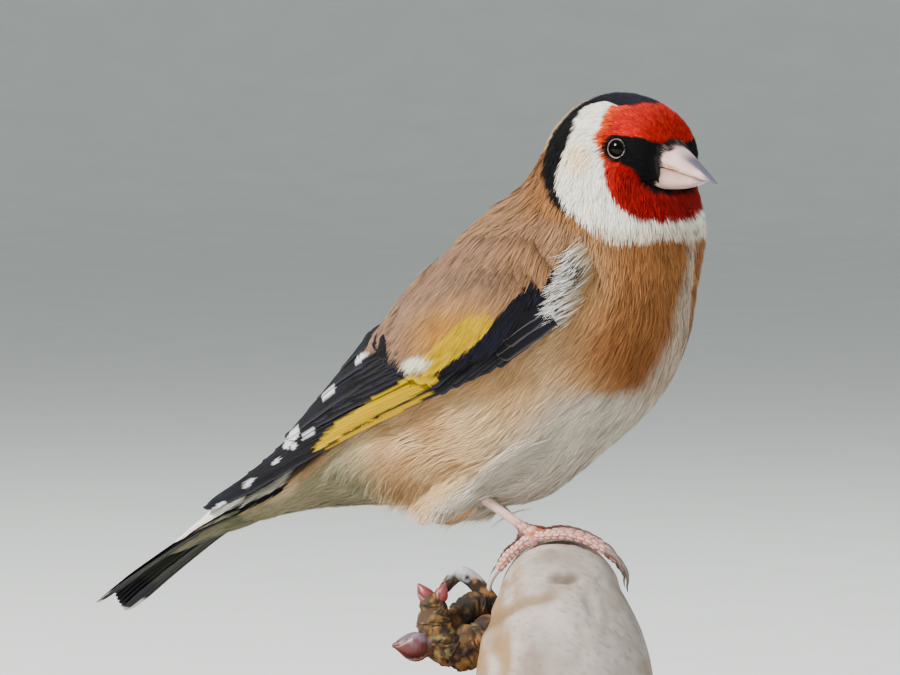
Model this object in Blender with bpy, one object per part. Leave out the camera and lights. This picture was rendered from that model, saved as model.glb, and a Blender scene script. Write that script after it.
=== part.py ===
"""A life-size European goldfinch, standing on a cut length of branch that a plain display stand holds.

The bird faces +X, its right side is at -Y and +Z is up. The origin is the centre of the stand's
underside. Tables are in millimetres, with x and z in the bird's own side elevation, measured from
the middle of the branch under its feet. at() turns them into metres in the part's frame.
"""

import math

import bmesh
import bpy
import numpy as np
from mathutils import Matrix, Vector
from mathutils.bvhtree import BVHTree

MM = 0.001
GAP = 0.3
FLAT_WITHIN = 0.8

# Where the middle of the branch lies over the stand's centre.
PERCH_X, PERCH_Y, PERCH_Z = 10.0, 6.0, 32.5

# The body's outline in side elevation: the back's line, the belly's line and half the width.
BODY = (
    # name          back x  back z  belly x  belly z  half width
    ("tail_root",   -51.0,  15.6,   -50.8,   10.8,    4.6),
    ("coverts",     -44.6,  19.4,   -45.0,   12.2,    6.4),
    ("rump",        -37.8,  26.6,   -38.0,   13.2,     8.8),
    ("vent",        -32.5,  33.3,   -30.0,   13.6,    11.6),
    ("belly",       -26.9,  40.0,   -21.5,   13.8,    13.8),
    ("loin",        -21.5,  48.1,   -12.0,   13.8,    15.0),
    ("back",        -15.6,  55.2,   -3.0,    15.4,    15.7),
    ("shoulders",   -10.1,  60.0,   6.0,     22.0,    15.5),
    ("breast",      -6.5,   62.4,   14.7,    29.4,    14.8),
    ("crop",        -4.2,   64.5,   19.8,    38.3,    13.8),
    ("neck_base",   -2.9,   66.4,   21.6,    47.2,    12.9),
    ("neck",        -1.9,   68.5,   22.7,    54.7,    12.1),
    ("nape",        0.0,    72.0,   22.3,    59.8,    11.2),
    ("hind_crown",  3.6,    75.2,   21.3,    61.6,    10.0),
    ("crown",       8.5,    76.9,   20.6,    62.1,    8.6),
    ("brow",        13.7,   76.5,   20.6,    62.3,    7.9),
    ("forehead",    18.2,   74.2,   20.7,    62.5,    6.9),
    ("bill_base",   20.5,   69.9,   20.5,    62.7,    4.7),
)
STATION = {row[0]: i for i, row in enumerate(BODY)}

# The head looks a little to the bird's right, turned about an upright line through the neck.
HEAD_TURN = math.radians(14.0)
TURN_X = 10.1
TURN_FROM, TURN_TO = STATION["crop"], STATION["hind_crown"]

# The parting cuts, as places along the body's stations.
NECK_CUT, HEAD_CUT = 9.4, 11.6
ROUND_SIDES = 24


def at(x, y, z):
    """A point in metres in the part's frame, from millimetres in the bird's elevation."""
    return Vector((x + PERCH_X, y + PERCH_Y, z + PERCH_Z)) * MM


def smooth(t):
    t = min(max(t, 0.0), 1.0)
    return t * t * (3.0 - 2.0 * t)


def station(place, rows=BODY):
    """One row of the outline between its stations, on a smooth curve through them."""
    last = len(rows) - 1
    i = min(max(int(math.floor(place)), 0), last - 1)
    t = place - i
    near = [np.array(rows[min(max(i + k, 0), last)][1:], float) for k in (-1, 0, 1, 2)]
    before, start, end, after = near
    leave, arrive = (end - before) / 2.0, (after - start) / 2.0
    if i == 0:
        leave = end - start
    if i == last - 1:
        arrive = end - start
    cubes = (2 * t**3 - 3 * t**2 + 1, t**3 - 2 * t**2 + t, -2 * t**3 + 3 * t**2, t**3 - t**2)
    return cubes[0] * start + cubes[1] * leave + cubes[2] * end + cubes[3] * arrive


def turned(point, share):
    """A point in millimetres after this share of the head's turn."""
    turn = -HEAD_TURN * share
    x, y = point[0] - TURN_X, point[1]
    cosine, sine = math.cos(turn), math.sin(turn)
    return np.array((TURN_X + x * cosine - y * sine, x * sine + y * cosine, point[2]))


def body_point(place, angle, grow=0.0, rows=BODY):
    """A point on the body in millimetres: angle 0 is the back, and +90 degrees the bird's left."""
    back_x, back_z, belly_x, belly_z, half_width = station(place, rows)
    middle = np.array(((back_x + belly_x) / 2.0, 0.0, (back_z + belly_z) / 2.0))
    upward = np.array((back_x - belly_x, 0.0, back_z - belly_z)) / 2.0
    half_depth = np.linalg.norm(upward)
    upward *= (half_depth + grow) / half_depth
    sideways = np.array((0.0, half_width + grow, 0.0))
    point = middle + upward * math.cos(angle) + sideways * math.sin(angle)
    share = smooth((place - TURN_FROM) / (TURN_TO - TURN_FROM))
    return turned(point, share)


def body_ring(place, grow=0.0, rows=BODY, sides=ROUND_SIDES):
    angles = [2.0 * math.pi * k / sides for k in range(sides)]
    return [body_point(place, angle, grow, rows) for angle in angles]


def new_object(name, mesh, keep=True):
    """An object for this mesh, in the bird's collection or among the helpers."""
    made = bpy.data.objects.new(name, mesh)
    (bird if keep else helpers).objects.link(made)
    if not keep:
        made.hide_render = True
        made.display_type = "WIRE"
    return made


def mesh_from(name, points, faces):
    """A mesh in metres from points in the bird's millimetres, faces turned outwards."""
    mesh = bpy.data.meshes.new(name)
    mesh.from_pydata([at(*p) for p in points], [], faces)
    shape = bmesh.new()
    shape.from_mesh(mesh)
    bmesh.ops.recalc_face_normals(shape, faces=shape.faces)
    shape.to_mesh(mesh)
    shape.free()
    return mesh


def loft(name, rings, keep=True):
    """A closed skin over rings of equally many points, with a flat fan of faces at each end."""
    sides = len(rings[0])
    points = [p for ring in rings for p in ring]
    faces = []
    for i in range(len(rings) - 1):
        for k in range(sides):
            a, b = i * sides + k, i * sides + (k + 1) % sides
            faces.append((a, b, b + sides, a + sides))
    for start, ring in ((0, rings[0]), (len(points) - sides, rings[-1])):
        points.append(sum(np.asarray(p, float) for p in ring) / sides)
        hub = len(points) - 1
        faces += [(start + k, start + (k + 1) % sides, hub) for k in range(sides)]
    return new_object(name, mesh_from(name, points, faces), keep)


def round_off(place, last, depth):
    """How far a ring is drawn in near a rounded end, as a share of its size."""
    return math.sqrt(max(0.0, 1.0 - max(0.0, 1.0 - (last - place) / depth) ** 2))


def apply_modifiers(made):
    """Replaces an object's mesh by what its modifiers make of it."""
    bpy.context.view_layer.update()
    graph = bpy.context.evaluated_depsgraph_get()
    mesh = bpy.data.meshes.new_from_object(made.evaluated_get(graph))
    made.modifiers.clear()
    made.data = mesh
    return made


def boolean(target, other, operation, solver="EXACT"):
    """Cuts or joins an object, or a collection's objects, and applies it."""
    step = target.modifiers.new(operation.lower(), "BOOLEAN")
    step.operation = operation
    step.solver = solver
    if isinstance(other, bpy.types.Collection):
        step.operand_type = "COLLECTION"
        step.collection = other
    else:
        step.object = other
    return apply_modifiers(target)


def remove(*objects):
    for made in objects:
        bpy.data.objects.remove(made)


def largest_only(made):
    """Keeps an object's largest closed surface and drops loose scraps."""
    shape = bmesh.new()
    shape.from_mesh(made.data)
    left, groups = set(shape.verts), []
    while left:
        group, edge = set(), [left.pop()]
        while edge:
            vert = edge.pop()
            group.add(vert)
            for link in vert.link_edges:
                other = link.other_vert(vert)
                if other in left:
                    left.discard(other)
                    edge.append(other)
        groups.append(group)
    groups.sort(key=len)
    for group in groups[:-1]:
        bmesh.ops.delete(shape, geom=list(group), context="VERTS")
    shape.to_mesh(made.data)
    shape.free()
    return made


def fuse(name, pieces, solver="MANIFOLD"):
    """One closed object from overlapping pieces, by one union on a collection."""
    first, others = pieces[0], pieces[1:]
    group = bpy.data.collections.new(name + "_pieces")
    bpy.context.scene.collection.children.link(group)
    for piece in others:
        bird.objects.unlink(piece)
        group.objects.link(piece)
    boolean(first, group, "UNION", solver)
    remove(*others)
    bpy.data.collections.remove(group)
    first.name = name
    return merge_flat(largest_only(first))


def merge_flat(made):
    """Joins a union's sliver triangles that lie in one plane."""
    shape = bmesh.new()
    shape.from_mesh(made.data)
    bmesh.ops.dissolve_limit(
        shape, angle_limit=math.radians(FLAT_WITHIN), verts=shape.verts[:], edges=shape.edges[:])
    bmesh.ops.triangulate(shape, faces=shape.faces[:])
    shape.to_mesh(made.data)
    shape.free()
    return made


def tube(name, path, radii, sides_level=2):
    """A tapered tube along points in millimetres, as a closed mesh."""
    curve = bpy.data.curves.new(name, "CURVE")
    curve.dimensions = "3D"
    curve.bevel_depth = MM
    curve.bevel_resolution = sides_level
    curve.use_fill_caps = True
    spline = curve.splines.new("POLY")
    spline.points.add(len(path) - 1)
    for point, place, radius in zip(spline.points, path, radii):
        point.co = (*at(*place), 1.0)
        point.radius = radius
    source = bpy.data.objects.new(name + "_curve", curve)
    helpers.objects.link(source)
    bpy.context.view_layer.update()
    graph = bpy.context.evaluated_depsgraph_get()
    mesh = bpy.data.meshes.new_from_object(source.evaluated_get(graph))
    shape = bmesh.new()
    shape.from_mesh(mesh)
    bmesh.ops.remove_doubles(shape, verts=shape.verts, dist=0.00001)
    shape.to_mesh(mesh)
    shape.free()
    made = new_object(name, mesh)
    made.matrix_world = source.matrix_world
    remove(source)
    return made


def ball(name, centre, radius, keep=True, segments=16, rings=10, stretch=(1, 1, 1), turn=None):
    """A sphere, or one stretched and then turned, about a centre in millimetres."""
    mesh = bpy.data.meshes.new(name)
    shape = bmesh.new()
    bmesh.ops.create_uvsphere(shape, u_segments=segments, v_segments=rings, radius=radius * MM)
    matrix = Matrix.Diagonal((*stretch, 1.0))
    if turn is not None:
        matrix = turn.to_4x4() @ matrix
    matrix = Matrix.Translation(at(*centre)) @ matrix
    bmesh.ops.transform(shape, matrix=matrix, verts=shape.verts)
    shape.to_mesh(mesh)
    shape.free()
    return new_object(name, mesh, keep)


def rod_between(name, low, high, radius, keep=True, segments=20, top_radius=None):
    """A straight round bar between two points in millimetres."""
    low, high = at(*low), at(*high)
    mesh = bpy.data.meshes.new(name)
    shape = bmesh.new()
    bmesh.ops.create_cone(
        shape, cap_ends=True, segments=segments, radius1=radius * MM,
        radius2=(top_radius or radius) * MM, depth=(high - low).length)
    turn = (high - low).to_track_quat("Z", "Y").to_matrix().to_4x4()
    bmesh.ops.transform(
        shape, matrix=Matrix.Translation((low + high) / 2) @ turn, verts=shape.verts)
    shape.to_mesh(mesh)
    shape.free()
    return new_object(name, mesh, keep)


def paint(made, colour, roughness, metallic=0.0):
    """Gives an object its own plain material."""
    material = bpy.data.materials.new(made.name)
    material.use_nodes = True
    surface = material.node_tree.nodes["Principled BSDF"]
    surface.inputs["Base Color"].default_value = (*colour, 1.0)
    surface.inputs["Roughness"].default_value = roughness
    surface.inputs["Metallic"].default_value = metallic
    made.data.materials.clear()
    made.data.materials.append(material)
    made.data.shade_smooth()
    made.data.set_sharp_from_angle(angle=math.radians(40))
    return made


# Colours in linear RGB
BROWN, CREAM, RED = (0.36, 0.20, 0.10), (0.70, 0.62, 0.52), (0.55, 0.02, 0.02)
BLACK, HORN, FLESH = (0.012, 0.012, 0.016), (0.72, 0.55, 0.50), (0.55, 0.27, 0.22)
CLAW, BARK, BUD, WALNUT = (0.20, 0.15, 0.14), (0.42, 0.38, 0.33), (0.20, 0.05, 0.06), (0.09, 0.04, 0.02)
BRASS = (0.60, 0.42, 0.16)

# Eyes: where the ball's centre lies in the head's own elevation, and the sizes of ball and lids.
EYE_X, EYE_SIDE, EYE_Z = 14.9, 6.0, 68.6
EYE_RADIUS, LID_OPENING, LID_RING, LID_THICK = 1.9, 1.35, 1.5, 0.3
EYE_FORWARD, EYE_UP = math.radians(15.0), math.radians(3.0)

# Bill: the culmen's, mouth's and chin's lines at the base and tip, in the head's own elevation.
BILL_BASE_X, BILL_TIP_X, LOWER_TIP_X = 20.5, 28.7, 27.5
CULMEN_Z, MOUTH_Z, CHIN_Z, BILL_TIP_Z = 69.7, 65.8, 62.6, 63.3
BILL_HALF_WIDTH = 3.55
NOSTRIL_RADIUS = 0.42


def head_direction(forward, side, up):
    """A direction in the head's frame, turned as the head is."""
    vector = Vector((forward, side, up))
    return Matrix.Rotation(-HEAD_TURN, 3, "Z") @ vector


def in_head(x, y, z):
    return turned(np.array((x, y, z), float), 1.0)


def parted(ring):
    """The same ring a gap further on, square to its own plane."""
    ring = [np.asarray(p, float) for p in ring]
    across = ring[len(ring) // 2] - ring[0]
    aside = ring[len(ring) // 4] - ring[3 * len(ring) // 4]
    square = np.cross(across, aside)
    square /= np.linalg.norm(square)
    if square[2] < 0:
        square = -square
    return [p + square * GAP for p in ring]


def make_body():
    """The torso, neck and head: one loft, parted by two thin cuts across it."""
    torso_rings = [body_ring(p) for p in np.linspace(0.0, NECK_CUT, 21)]
    neck_rings = [body_ring(p) for p in np.linspace(NECK_CUT, HEAD_CUT, 6)]
    head_rings = [body_ring(p) for p in np.linspace(HEAD_CUT, len(BODY) - 1.0, 15)]
    neck_rings[0] = parted(neck_rings[0])
    head_rings[0] = parted(head_rings[0])
    torso = loft("torso", torso_rings)
    neck = loft("neck", neck_rings)
    head = loft("head", head_rings)
    return torso, neck, head


def make_eyes(head):
    """Each eye's ball, the socket cut for it and the raised ring of its lids."""
    for side, name in ((-1, "right"), (1, "left")):
        centre = in_head(EYE_X, side * EYE_SIDE, EYE_Z)
        look = head_direction(math.sin(EYE_FORWARD), side * math.cos(EYE_FORWARD), math.sin(EYE_UP))
        look.normalize()
        lid_place = 1.72
        lid_centre = at(*centre) + look * lid_place * MM
        bpy.ops.mesh.primitive_torus_add(
            major_segments=18, minor_segments=6, major_radius=LID_RING * MM,
            minor_radius=LID_THICK * MM, location=lid_centre,
            rotation=look.to_track_quat("Z", "Y").to_euler())
        lids = bpy.context.object
        socket = ball("socket", centre, EYE_RADIUS + GAP, keep=False)
        tip = centre + np.array(look) * 4.0
        opening = rod_between("opening", centre, tip, LID_OPENING, keep=False, segments=20)
        boolean(head, lids, "UNION")
        boolean(head, socket, "DIFFERENCE")
        boolean(head, opening, "DIFFERENCE")
        remove(lids, socket, opening)
        eye = ball("eye_" + name, centre, EYE_RADIUS, segments=14, rings=8)
        paint(eye, (0.01, 0.006, 0.004), 0.05)
    largest_only(head)


def bill_half(name, tip_x, outer_z, outer_tip_z, gap_z, arch):
    """One mandible: arched on its outer side and flat along the mouth's line."""
    rings, steps, sides = [], 9, 7
    for i in range(steps):
        share = i / (steps - 1)
        x = BILL_BASE_X + GAP + (tip_x - BILL_BASE_X - GAP) * share
        along = (x - BILL_BASE_X) / (BILL_TIP_X - BILL_BASE_X)
        width = BILL_HALF_WIDTH * (1.0 - share) ** 0.78 * (1.0 - 0.12 * share) + 0.16
        mouth = MOUTH_Z + (BILL_TIP_Z - MOUTH_Z) * along ** 1.15 + gap_z
        edge = outer_z + (outer_tip_z - outer_z) * share ** arch
        if abs(edge - mouth) < 0.3:
            edge = mouth + math.copysign(0.3, outer_z - mouth)
        ring = []
        for k in range(sides):
            angle = math.pi * k / (sides - 1)
            lift = (edge - mouth) * math.sin(angle) ** 0.85
            ring.append(in_head(x, width * math.cos(angle), mouth + lift))
        ring.append(in_head(x, 0.0, mouth))
        rings.append(ring)
    return loft(name, rings)


def make_bill():
    """The two mandibles, with a nostril at each side of the upper one's base."""
    upper = bill_half("bill_upper", BILL_TIP_X, CULMEN_Z, BILL_TIP_Z + 0.25, GAP / 2, 1.12)
    lower = bill_half("bill_lower", LOWER_TIP_X, CHIN_Z, BILL_TIP_Z - 0.45, -GAP / 2, 1.5)
    for side in (-1, 1):
        pit = ball(
            "nostril", in_head(BILL_BASE_X + 1.2, side * 2.35, CULMEN_Z - 1.35),
            NOSTRIL_RADIUS, keep=False, segments=8, rings=6, stretch=(1.5, 1.0, 0.8))
        boolean(upper, pit, "DIFFERENCE")
        remove(pit)
    paint(largest_only(upper), HORN, 0.35)
    paint(lower, HORN, 0.35)


# The closed wings lie on this outline, which runs on behind the body and passes above the tail.
CARRIER = (
    # name          back x  back z  belly x  belly z  half width
    ("beyond",      -66.0,   9.0,   -65.0,   4.0,     3.0),
    ("wing_tip",    -58.8,  12.9,   -58.2,   7.0,     3.6),
    ("tail_root",   -51.8,  17.0,   -51.5,   9.6,     5.4),
    ("coverts",     -45.6,  21.6,   -45.3,  11.6,     7.2),
    ("rump",        -39.0,  28.0,   -38.0,   12.9,    9.8),
    ("vent",        -33.2,  34.4,   -30.0,   13.4,    12.2),
    ("belly",       -27.6,  41.1,   -21.5,   13.8,    14.3),
    ("loin",        -21.8,  48.6,   -12.0,   13.8,    15.4),
) + BODY[6:12]
CARRIER_CLEAR, CARRIER_SIDES = 0.65, 64
MIDLINE_CLEAR, OVER_RIDGE = 0.25, 1.6

# The wing's core, under its feathers: its lower and upper edges in side elevation, wrist first.
CORE_LOWER = ((7.6, 43.6), (4.2, 40.6), (-4.0, 36.6), (-12.4, 32.8), (-23.0, 28.2), (-33.8, 23.0),
              (-43.0, 17.6), (-50.6, 12.8))
CORE_UPPER = ((6.8, 47.5), (2.0, 52.5), (-8.0, 53.0), (-17.5, 47.6), (-25.5, 41.0), (-34.0, 32.0),
              (-42.5, 22.4), (-50.6, 14.8))
CORE_CLEAR, CORE_THIN, CORE_THICK = 0.1, 0.62, 2.3

# The wing's feathers in tiers. Each line runs from the outermost feather to the innermost.
TIERS = (
    # name, count, line of roots, line of tips, width of first and last, lift of the lower edge
    # and of the tucked upper edge, bow
    ("primary", 7,
     ((-4.0, 36.2), (-14.0, 33.6), (-26.0, 31.4)),
     ((-55.2, 13.8), (-58.6, 12.3), (-56.6, 13.6), (-53.6, 15.5), (-50.0, 18.0),
      (-46.4, 20.8), (-43.0, 23.6)),
     3.4, 4.4, 1.05, 0.65, 0.7),
    ("secondary", 4,
     ((-14.5, 36.0), (-21.5, 38.6)),
     ((-41.8, 24.2), (-40.8, 25.8), (-39.5, 27.4), (-37.8, 29.0)),
     4.6, 5.2, 1.35, 0.9, 0.6),
    ("tertial", 3,
     ((-21.0, 37.4), (-21.0, 40.0), (-22.6, 42.0)),
     ((-44.0, 24.5), (-38.6, 30.6), (-33.6, 35.8)),
     6.0, 6.0, 1.7, 1.25, 0.5),
    ("primary_covert", 4,
     ((3.4, 41.2), (-3.6, 39.0)),
     ((-3.0, 36.8), (-12.6, 32.6)),
     3.4, 4.2, 1.7, 1.25, 0.3),
    ("greater_covert", 5,
     ((-5.0, 39.8), (-14.5, 43.6)),
     ((-13.8, 33.6), (-17.1, 34.2), (-19.8, 35.2), (-22.0, 36.6), (-24.0, 38.2)),
     4.8, 4.6, 1.95, 1.5, 0.3),
    ("alula", 2,
     ((6.4, 43.4), (4.6, 43.8)),
     ((-2.0, 38.0), (-1.0, 40.0)),
     3.4, 3.2, 2.45, 2.0, 0.2),
)
VANE_BED, TIP_THICK = 0.5, 0.5
VANE_STEPS = (0.0, 0.42, 0.76, 0.93, 1.0)
VANE_FULL = (0.7, 1.0, 0.95, 0.66, 0.2)
WIDE_VANE = 5.5


def make_carrier():
    """The surface that the wings lie on, as a tree for casting points onto it."""
    places = np.linspace(0.0, len(CARRIER) - 1.0, 70)
    rings = [body_ring(p, CARRIER_CLEAR, CARRIER, CARRIER_SIDES) for p in places]
    points = [Vector(p) for ring in rings for p in ring]
    faces = []
    for i in range(len(rings) - 1):
        for k in range(CARRIER_SIDES):
            a, b = i * CARRIER_SIDES + k, i * CARRIER_SIDES + (k + 1) % CARRIER_SIDES
            faces.append((a, b, b + CARRIER_SIDES, a + CARRIER_SIDES))
    return BVHTree.FromPolygons(points, faces)


def on_carrier(carrier, side, x, z, lift):
    """The place on one side of the carrier seen at x, z in elevation, lifted off it.

    A place above the carrier's ridge is brought down to it, and lies nearer to the midline."""
    over, hit = 0.0, None
    while hit is None and over < 12.0:
        start = Vector((x, side * 60.0, z - over))
        hit, normal, _, _ = carrier.ray_cast(start, Vector((0.0, -side, 0.0)))
        if hit is None:
            over += 0.12
    if normal.dot(Vector((0.0, side, 0.4))) < 0.0:
        normal = -normal
    reach = max(hit.y * side, MIDLINE_CLEAR)
    hit.y = side * (MIDLINE_CLEAR + (reach - MIDLINE_CLEAR) * math.exp(-over / OVER_RIDGE))
    place = hit + normal * lift
    short = MIDLINE_CLEAR - place.y * side
    if short > 0.0:
        place.y = side * MIDLINE_CLEAR * (0.5 + 0.5 * math.exp(-short))
    return place


def along(rail, share):
    """A point part of the way along a line of landmarks, on a smooth curve through them."""
    rows = [("", *p) for p in rail]
    return station(share * (len(rail) - 1), rows)


def plate(name, grid_top, grid_bottom):
    """A closed plate from two grids of points, with both faces split alike."""
    rows, columns = len(grid_top), len(grid_top[0])
    points = [p for row in grid_top for p in row] + [p for row in grid_bottom for p in row]
    under = rows * columns
    faces = []
    for i in range(rows - 1):
        for k in range(columns - 1):
            a = i * columns + k
            b, c, d = a + 1, a + columns + 1, a + columns
            faces += [(a, b, c), (a, c, d)]
            faces += [(under + c, under + b, under + a), (under + d, under + c, under + a)]
    rim = [k for k in range(columns)]
    rim += [i * columns + columns - 1 for i in range(1, rows)]
    rim += [(rows - 1) * columns + k for k in range(columns - 2, -1, -1)]
    rim += [i * columns for i in range(rows - 2, 0, -1)]
    for a, b in zip(rim, rim[1:] + rim[:1]):
        faces += [(a, under + a, under + b), (a, under + b, b)]
    return new_object(name, mesh_from(name, points, faces))


def wing_core(name, side, carrier, rows=11, columns=5):
    """The fleshy part of the wing, which all its feathers are rooted in."""
    top, bottom = [], []
    for i in range(rows):
        share = i / (rows - 1)
        low, high = along(CORE_LOWER, share), along(CORE_UPPER, share)
        top_row, bottom_row = [], []
        for k in range(columns):
            across = k / (columns - 1)
            x, z = low + (high - low) * across
            swell = math.sin(math.pi * across) ** 0.7
            rise = smooth(share / 0.12) * (1.0 - smooth((share - 0.15) / 0.4))
            lift = CORE_THIN + (CORE_THICK - CORE_THIN) * swell * rise
            top_row.append(on_carrier(carrier, side, x, z, lift))
            bottom_row.append(on_carrier(carrier, side, x, z, CORE_CLEAR))
        top.append(top_row)
        bottom.append(bottom_row)
    return plate(name, top, bottom)


def vane(name, side, carrier, root, tip, width, lift_low, lift_high, bow):
    """One feather from its root to its rounded tip, lying on the carrier like a shingle."""
    root, tip = np.asarray(root, float), np.asarray(tip, float)
    run = tip - root
    upward = np.array((run[1], -run[0])) / np.linalg.norm(run)
    if upward[1] < 0:
        upward = -upward
    top, bottom = [], []
    for share, full in zip(VANE_STEPS, VANE_FULL):
        middle = root + run * share + upward * bow * math.sin(math.pi * share)
        rows = ([], [])
        lines = ((-0.46, lift_low), (0.54, lift_high))
        if width > WIDE_VANE:
            lines = (lines[0], (0.04, (lift_low + lift_high) / 2 + 0.1), lines[1])
        for across, lift in lines:
            x, z = middle + upward * across * width * full
            bed = lift - TIP_THICK if share > 0.8 else VANE_BED
            rows[0].append(on_carrier(carrier, side, x, z, lift))
            rows[1].append(on_carrier(carrier, side, x, z, bed))
        top.append(rows[0])
        bottom.append(rows[1])
    return plate(name, top, bottom)


def make_wings():
    carrier = make_carrier()
    for side, name in ((-1, "right"), (1, "left")):
        pieces = [wing_core("wing_core", side, carrier)]
        for tier, count, roots, tips, first, last, lift_low, lift_high, bow in TIERS:
            for k in range(count):
                share = k / (count - 1)
                pieces.append(vane(
                    tier, side, carrier, along(roots, share), along(tips, share),
                    first + (last - first) * share, lift_low, lift_high, bow))
        paint(fuse("wing_" + name, pieces), BLACK, 0.5)


# Tail: its middle line from the body to the tip of the outer feathers, and its width there.
TAIL_LINE = ((-51.2, 13.5), (-60.0, 9.3), (-68.5, 3.9), (-76.8, -1.9))
TAIL_PAIRS, TAIL_NOTCH = 6, 0.07
TAIL_STEP, TAIL_THICK, TAIL_ARCH = 0.24, 0.52, 0.012
# The tail is rolled a little, with its left side lower, and most at its end.
TAIL_ROLL = 0.1
TAIL_SPREAD = ((0.55, 0.56), (1.0, 0.86))
TAIL_STEPS = ((0.0, 0.9), (0.45, 1.55), (0.86, 1.75), (0.965, 1.2), (1.0, 0.35))


def tail_frame(share, across, rise):
    """A place in the tail: share of its length, millimetres across it and above its middle."""
    x, z = along(TAIL_LINE, share)
    ahead, behind = along(TAIL_LINE, min(share + 0.02, 1.0)), along(TAIL_LINE, max(share - 0.02, 0.0))
    dx, dz = ahead - behind
    length = math.hypot(dx, dz)
    return np.array((x + dz / length * -rise, across, z - dx / length * rise))


def tail_plug(name):
    """The long coverts round the tail's root, which narrow from the body to the vanes."""
    start = [np.asarray(p, float) for p in body_ring(0.0)]
    middle = sum(start) / len(start)
    rings = [[middle + (p - middle) * 0.94 + np.array((-GAP - 0.1, 0, -0.08)) for p in start]]
    for share, wide, high in ((0.12, 4.9, 2.2), (0.24, 5.2, 1.6), (0.36, 5.0, 0.9)):
        ring = []
        for k in range(ROUND_SIDES):
            angle = 2 * math.pi * k / ROUND_SIDES
            ring.append(tail_frame(share, wide * math.sin(angle), high * math.cos(angle)))
        rings.append(ring)
    return loft(name, rings)


def tail_vane(pair, side):
    """One tail feather. The first pair lies on top, and each one further out lies under it."""
    reach = 1.0 - TAIL_NOTCH * (1.0 - pair / (TAIL_PAIRS - 1)) ** 1.2
    level = (TAIL_PAIRS / 2 - pair) * TAIL_STEP + (0.12 if side > 0 else 0.0)
    top, bottom = [], []
    for step, half in TAIL_STEPS:
        share = 0.05 + (reach - 0.05) * step
        first, each = [r + (t - r) * share for r, t in zip(*TAIL_SPREAD)]
        rows = ([], [])
        for edge in (-half, half):
            across = side * (first + each * pair + edge)
            rise = level - TAIL_ARCH * across * across - TAIL_ROLL * share * across
            rows[0].append(tail_frame(share, across, rise))
            rows[1].append(tail_frame(share, across, rise - TAIL_THICK))
        top.append(rows[0])
        bottom.append(rows[1])
    return plate("tail_vane", top, bottom)


def make_tail():
    pieces = [tail_plug("tail_plug")]
    for pair in range(TAIL_PAIRS):
        for side in (-1, 1):
            pieces.append(tail_vane(pair, side))
    paint(fuse("tail", pieces), BLACK, 0.5)


# The perch runs towards the right of the bird's front, in plan along this direction.
PERCH_TURN = math.radians(26.0)
PERCH_ALONG = np.array((math.sin(PERCH_TURN), -math.cos(PERCH_TURN), 0.0))
PERCH_ACROSS = np.array((math.cos(PERCH_TURN), math.sin(PERCH_TURN), 0.0))
PERCH_LINE = (
    # along  height  radius
    (-21.0, -1.8, 8.6),
    (-14.0, -0.7, 9.0),
    (-7.0, -0.1, 9.3),
    (0.0, 0.0, 9.4),
    (6.0, -0.6, 9.8),
    (11.0, -2.8, 11.0),
    (15.0, -6.4, 12.4),
    (18.0, -11.2, 13.4),
    (19.6, -16.2, 14.0),
    (20.0, -21.0, 14.2),
)
PERCH_SIDES = 22
FEET_REACH = 9.0


def on_perch(along_it, across, height):
    """A place by the perch, from millimetres along it, across it and above its middle."""
    return PERCH_ALONG * along_it + PERCH_ACROSS * across + np.array((0.0, 0.0, height))


def bark(along_it, angle):
    """How far the bark stands in or out, as a share of the radius, shallow under the feet."""
    calm = smooth((abs(along_it - 0.0) - FEET_REACH + 3.0) / 5.0)
    ripple = 0.028 * math.sin(3 * angle + 0.21 * along_it) + 0.02 * math.sin(5 * angle - 0.33 * along_it)
    return calm * ripple - (1.0 - calm) * 0.012 * (1.0 + math.sin(4 * angle + 0.3 * along_it))


def make_perch():
    """The cut length of branch, which bends down to a flat end over the stand."""
    rings = []
    last = len(PERCH_LINE) - 1
    rows = [("", *p) for p in PERCH_LINE]
    places = np.linspace(0.0, last, 19)
    for place in places:
        along_it, height, radius = station(place, rows)
        before = station(max(place - 0.05, 0.0), rows)
        after = station(min(place + 0.05, last), rows)
        run = PERCH_ALONG * (after[0] - before[0]) + np.array((0, 0, after[1] - before[1]))
        run /= np.linalg.norm(run)
        if place == places[-1]:
            run = np.array((0.0, 0.0, -1.0))
        up = np.cross(PERCH_ACROSS, run)
        if np.dot(up, np.array((0, 0, 1.0)) + PERCH_ALONG) < 0:
            up = -up
        middle = on_perch(along_it, 0.0, height)
        ring = []
        for k in range(PERCH_SIDES):
            angle = 2 * math.pi * k / PERCH_SIDES
            reach = radius * (1.0 + bark(along_it, angle))
            ring.append(middle + PERCH_ACROSS * reach * math.sin(angle) + up * reach * math.cos(angle))
        rings.append(ring)
    return loft("perch", rings)


# Feet: where each foot's joint is above the perch, and the leg's upper end under the flank.
TARSUS_RADIUS = 0.78
FEET = (
    # name     side  joint along, across, height   heel x, y, z            thigh's fluff x, y, z
    ("right",  -1,   (4.1, -4.2, 10.3),            (-9.9, -7.3, 15.9),     (-17.4, -8.2, 12.6)),
    ("left",   1,    (-6.0, -5.4, 10.3),           (-14.4, 6.6, 14.3),     (-21.0, 7.6, 13.2)),
)
TOE_RADIUS = 0.72
TOES = (
    # number  spread along the perch  reach of each joint round it, in degrees from its top
    (2, -2.7, (-13.0, 3.0, 20.0, 36.0)),
    (3, 0.3, (-13.0, 7.0, 29.0, 50.0)),
    (4, 3.1, (-13.0, 1.0, 18.0, 35.0)),
    (1, 0.2, (-37.0, -48.0, -59.0)),
)
CLAW_LENGTHS = {1: 40.0, 2: 26.0, 3: 28.0, 4: 26.0}


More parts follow.
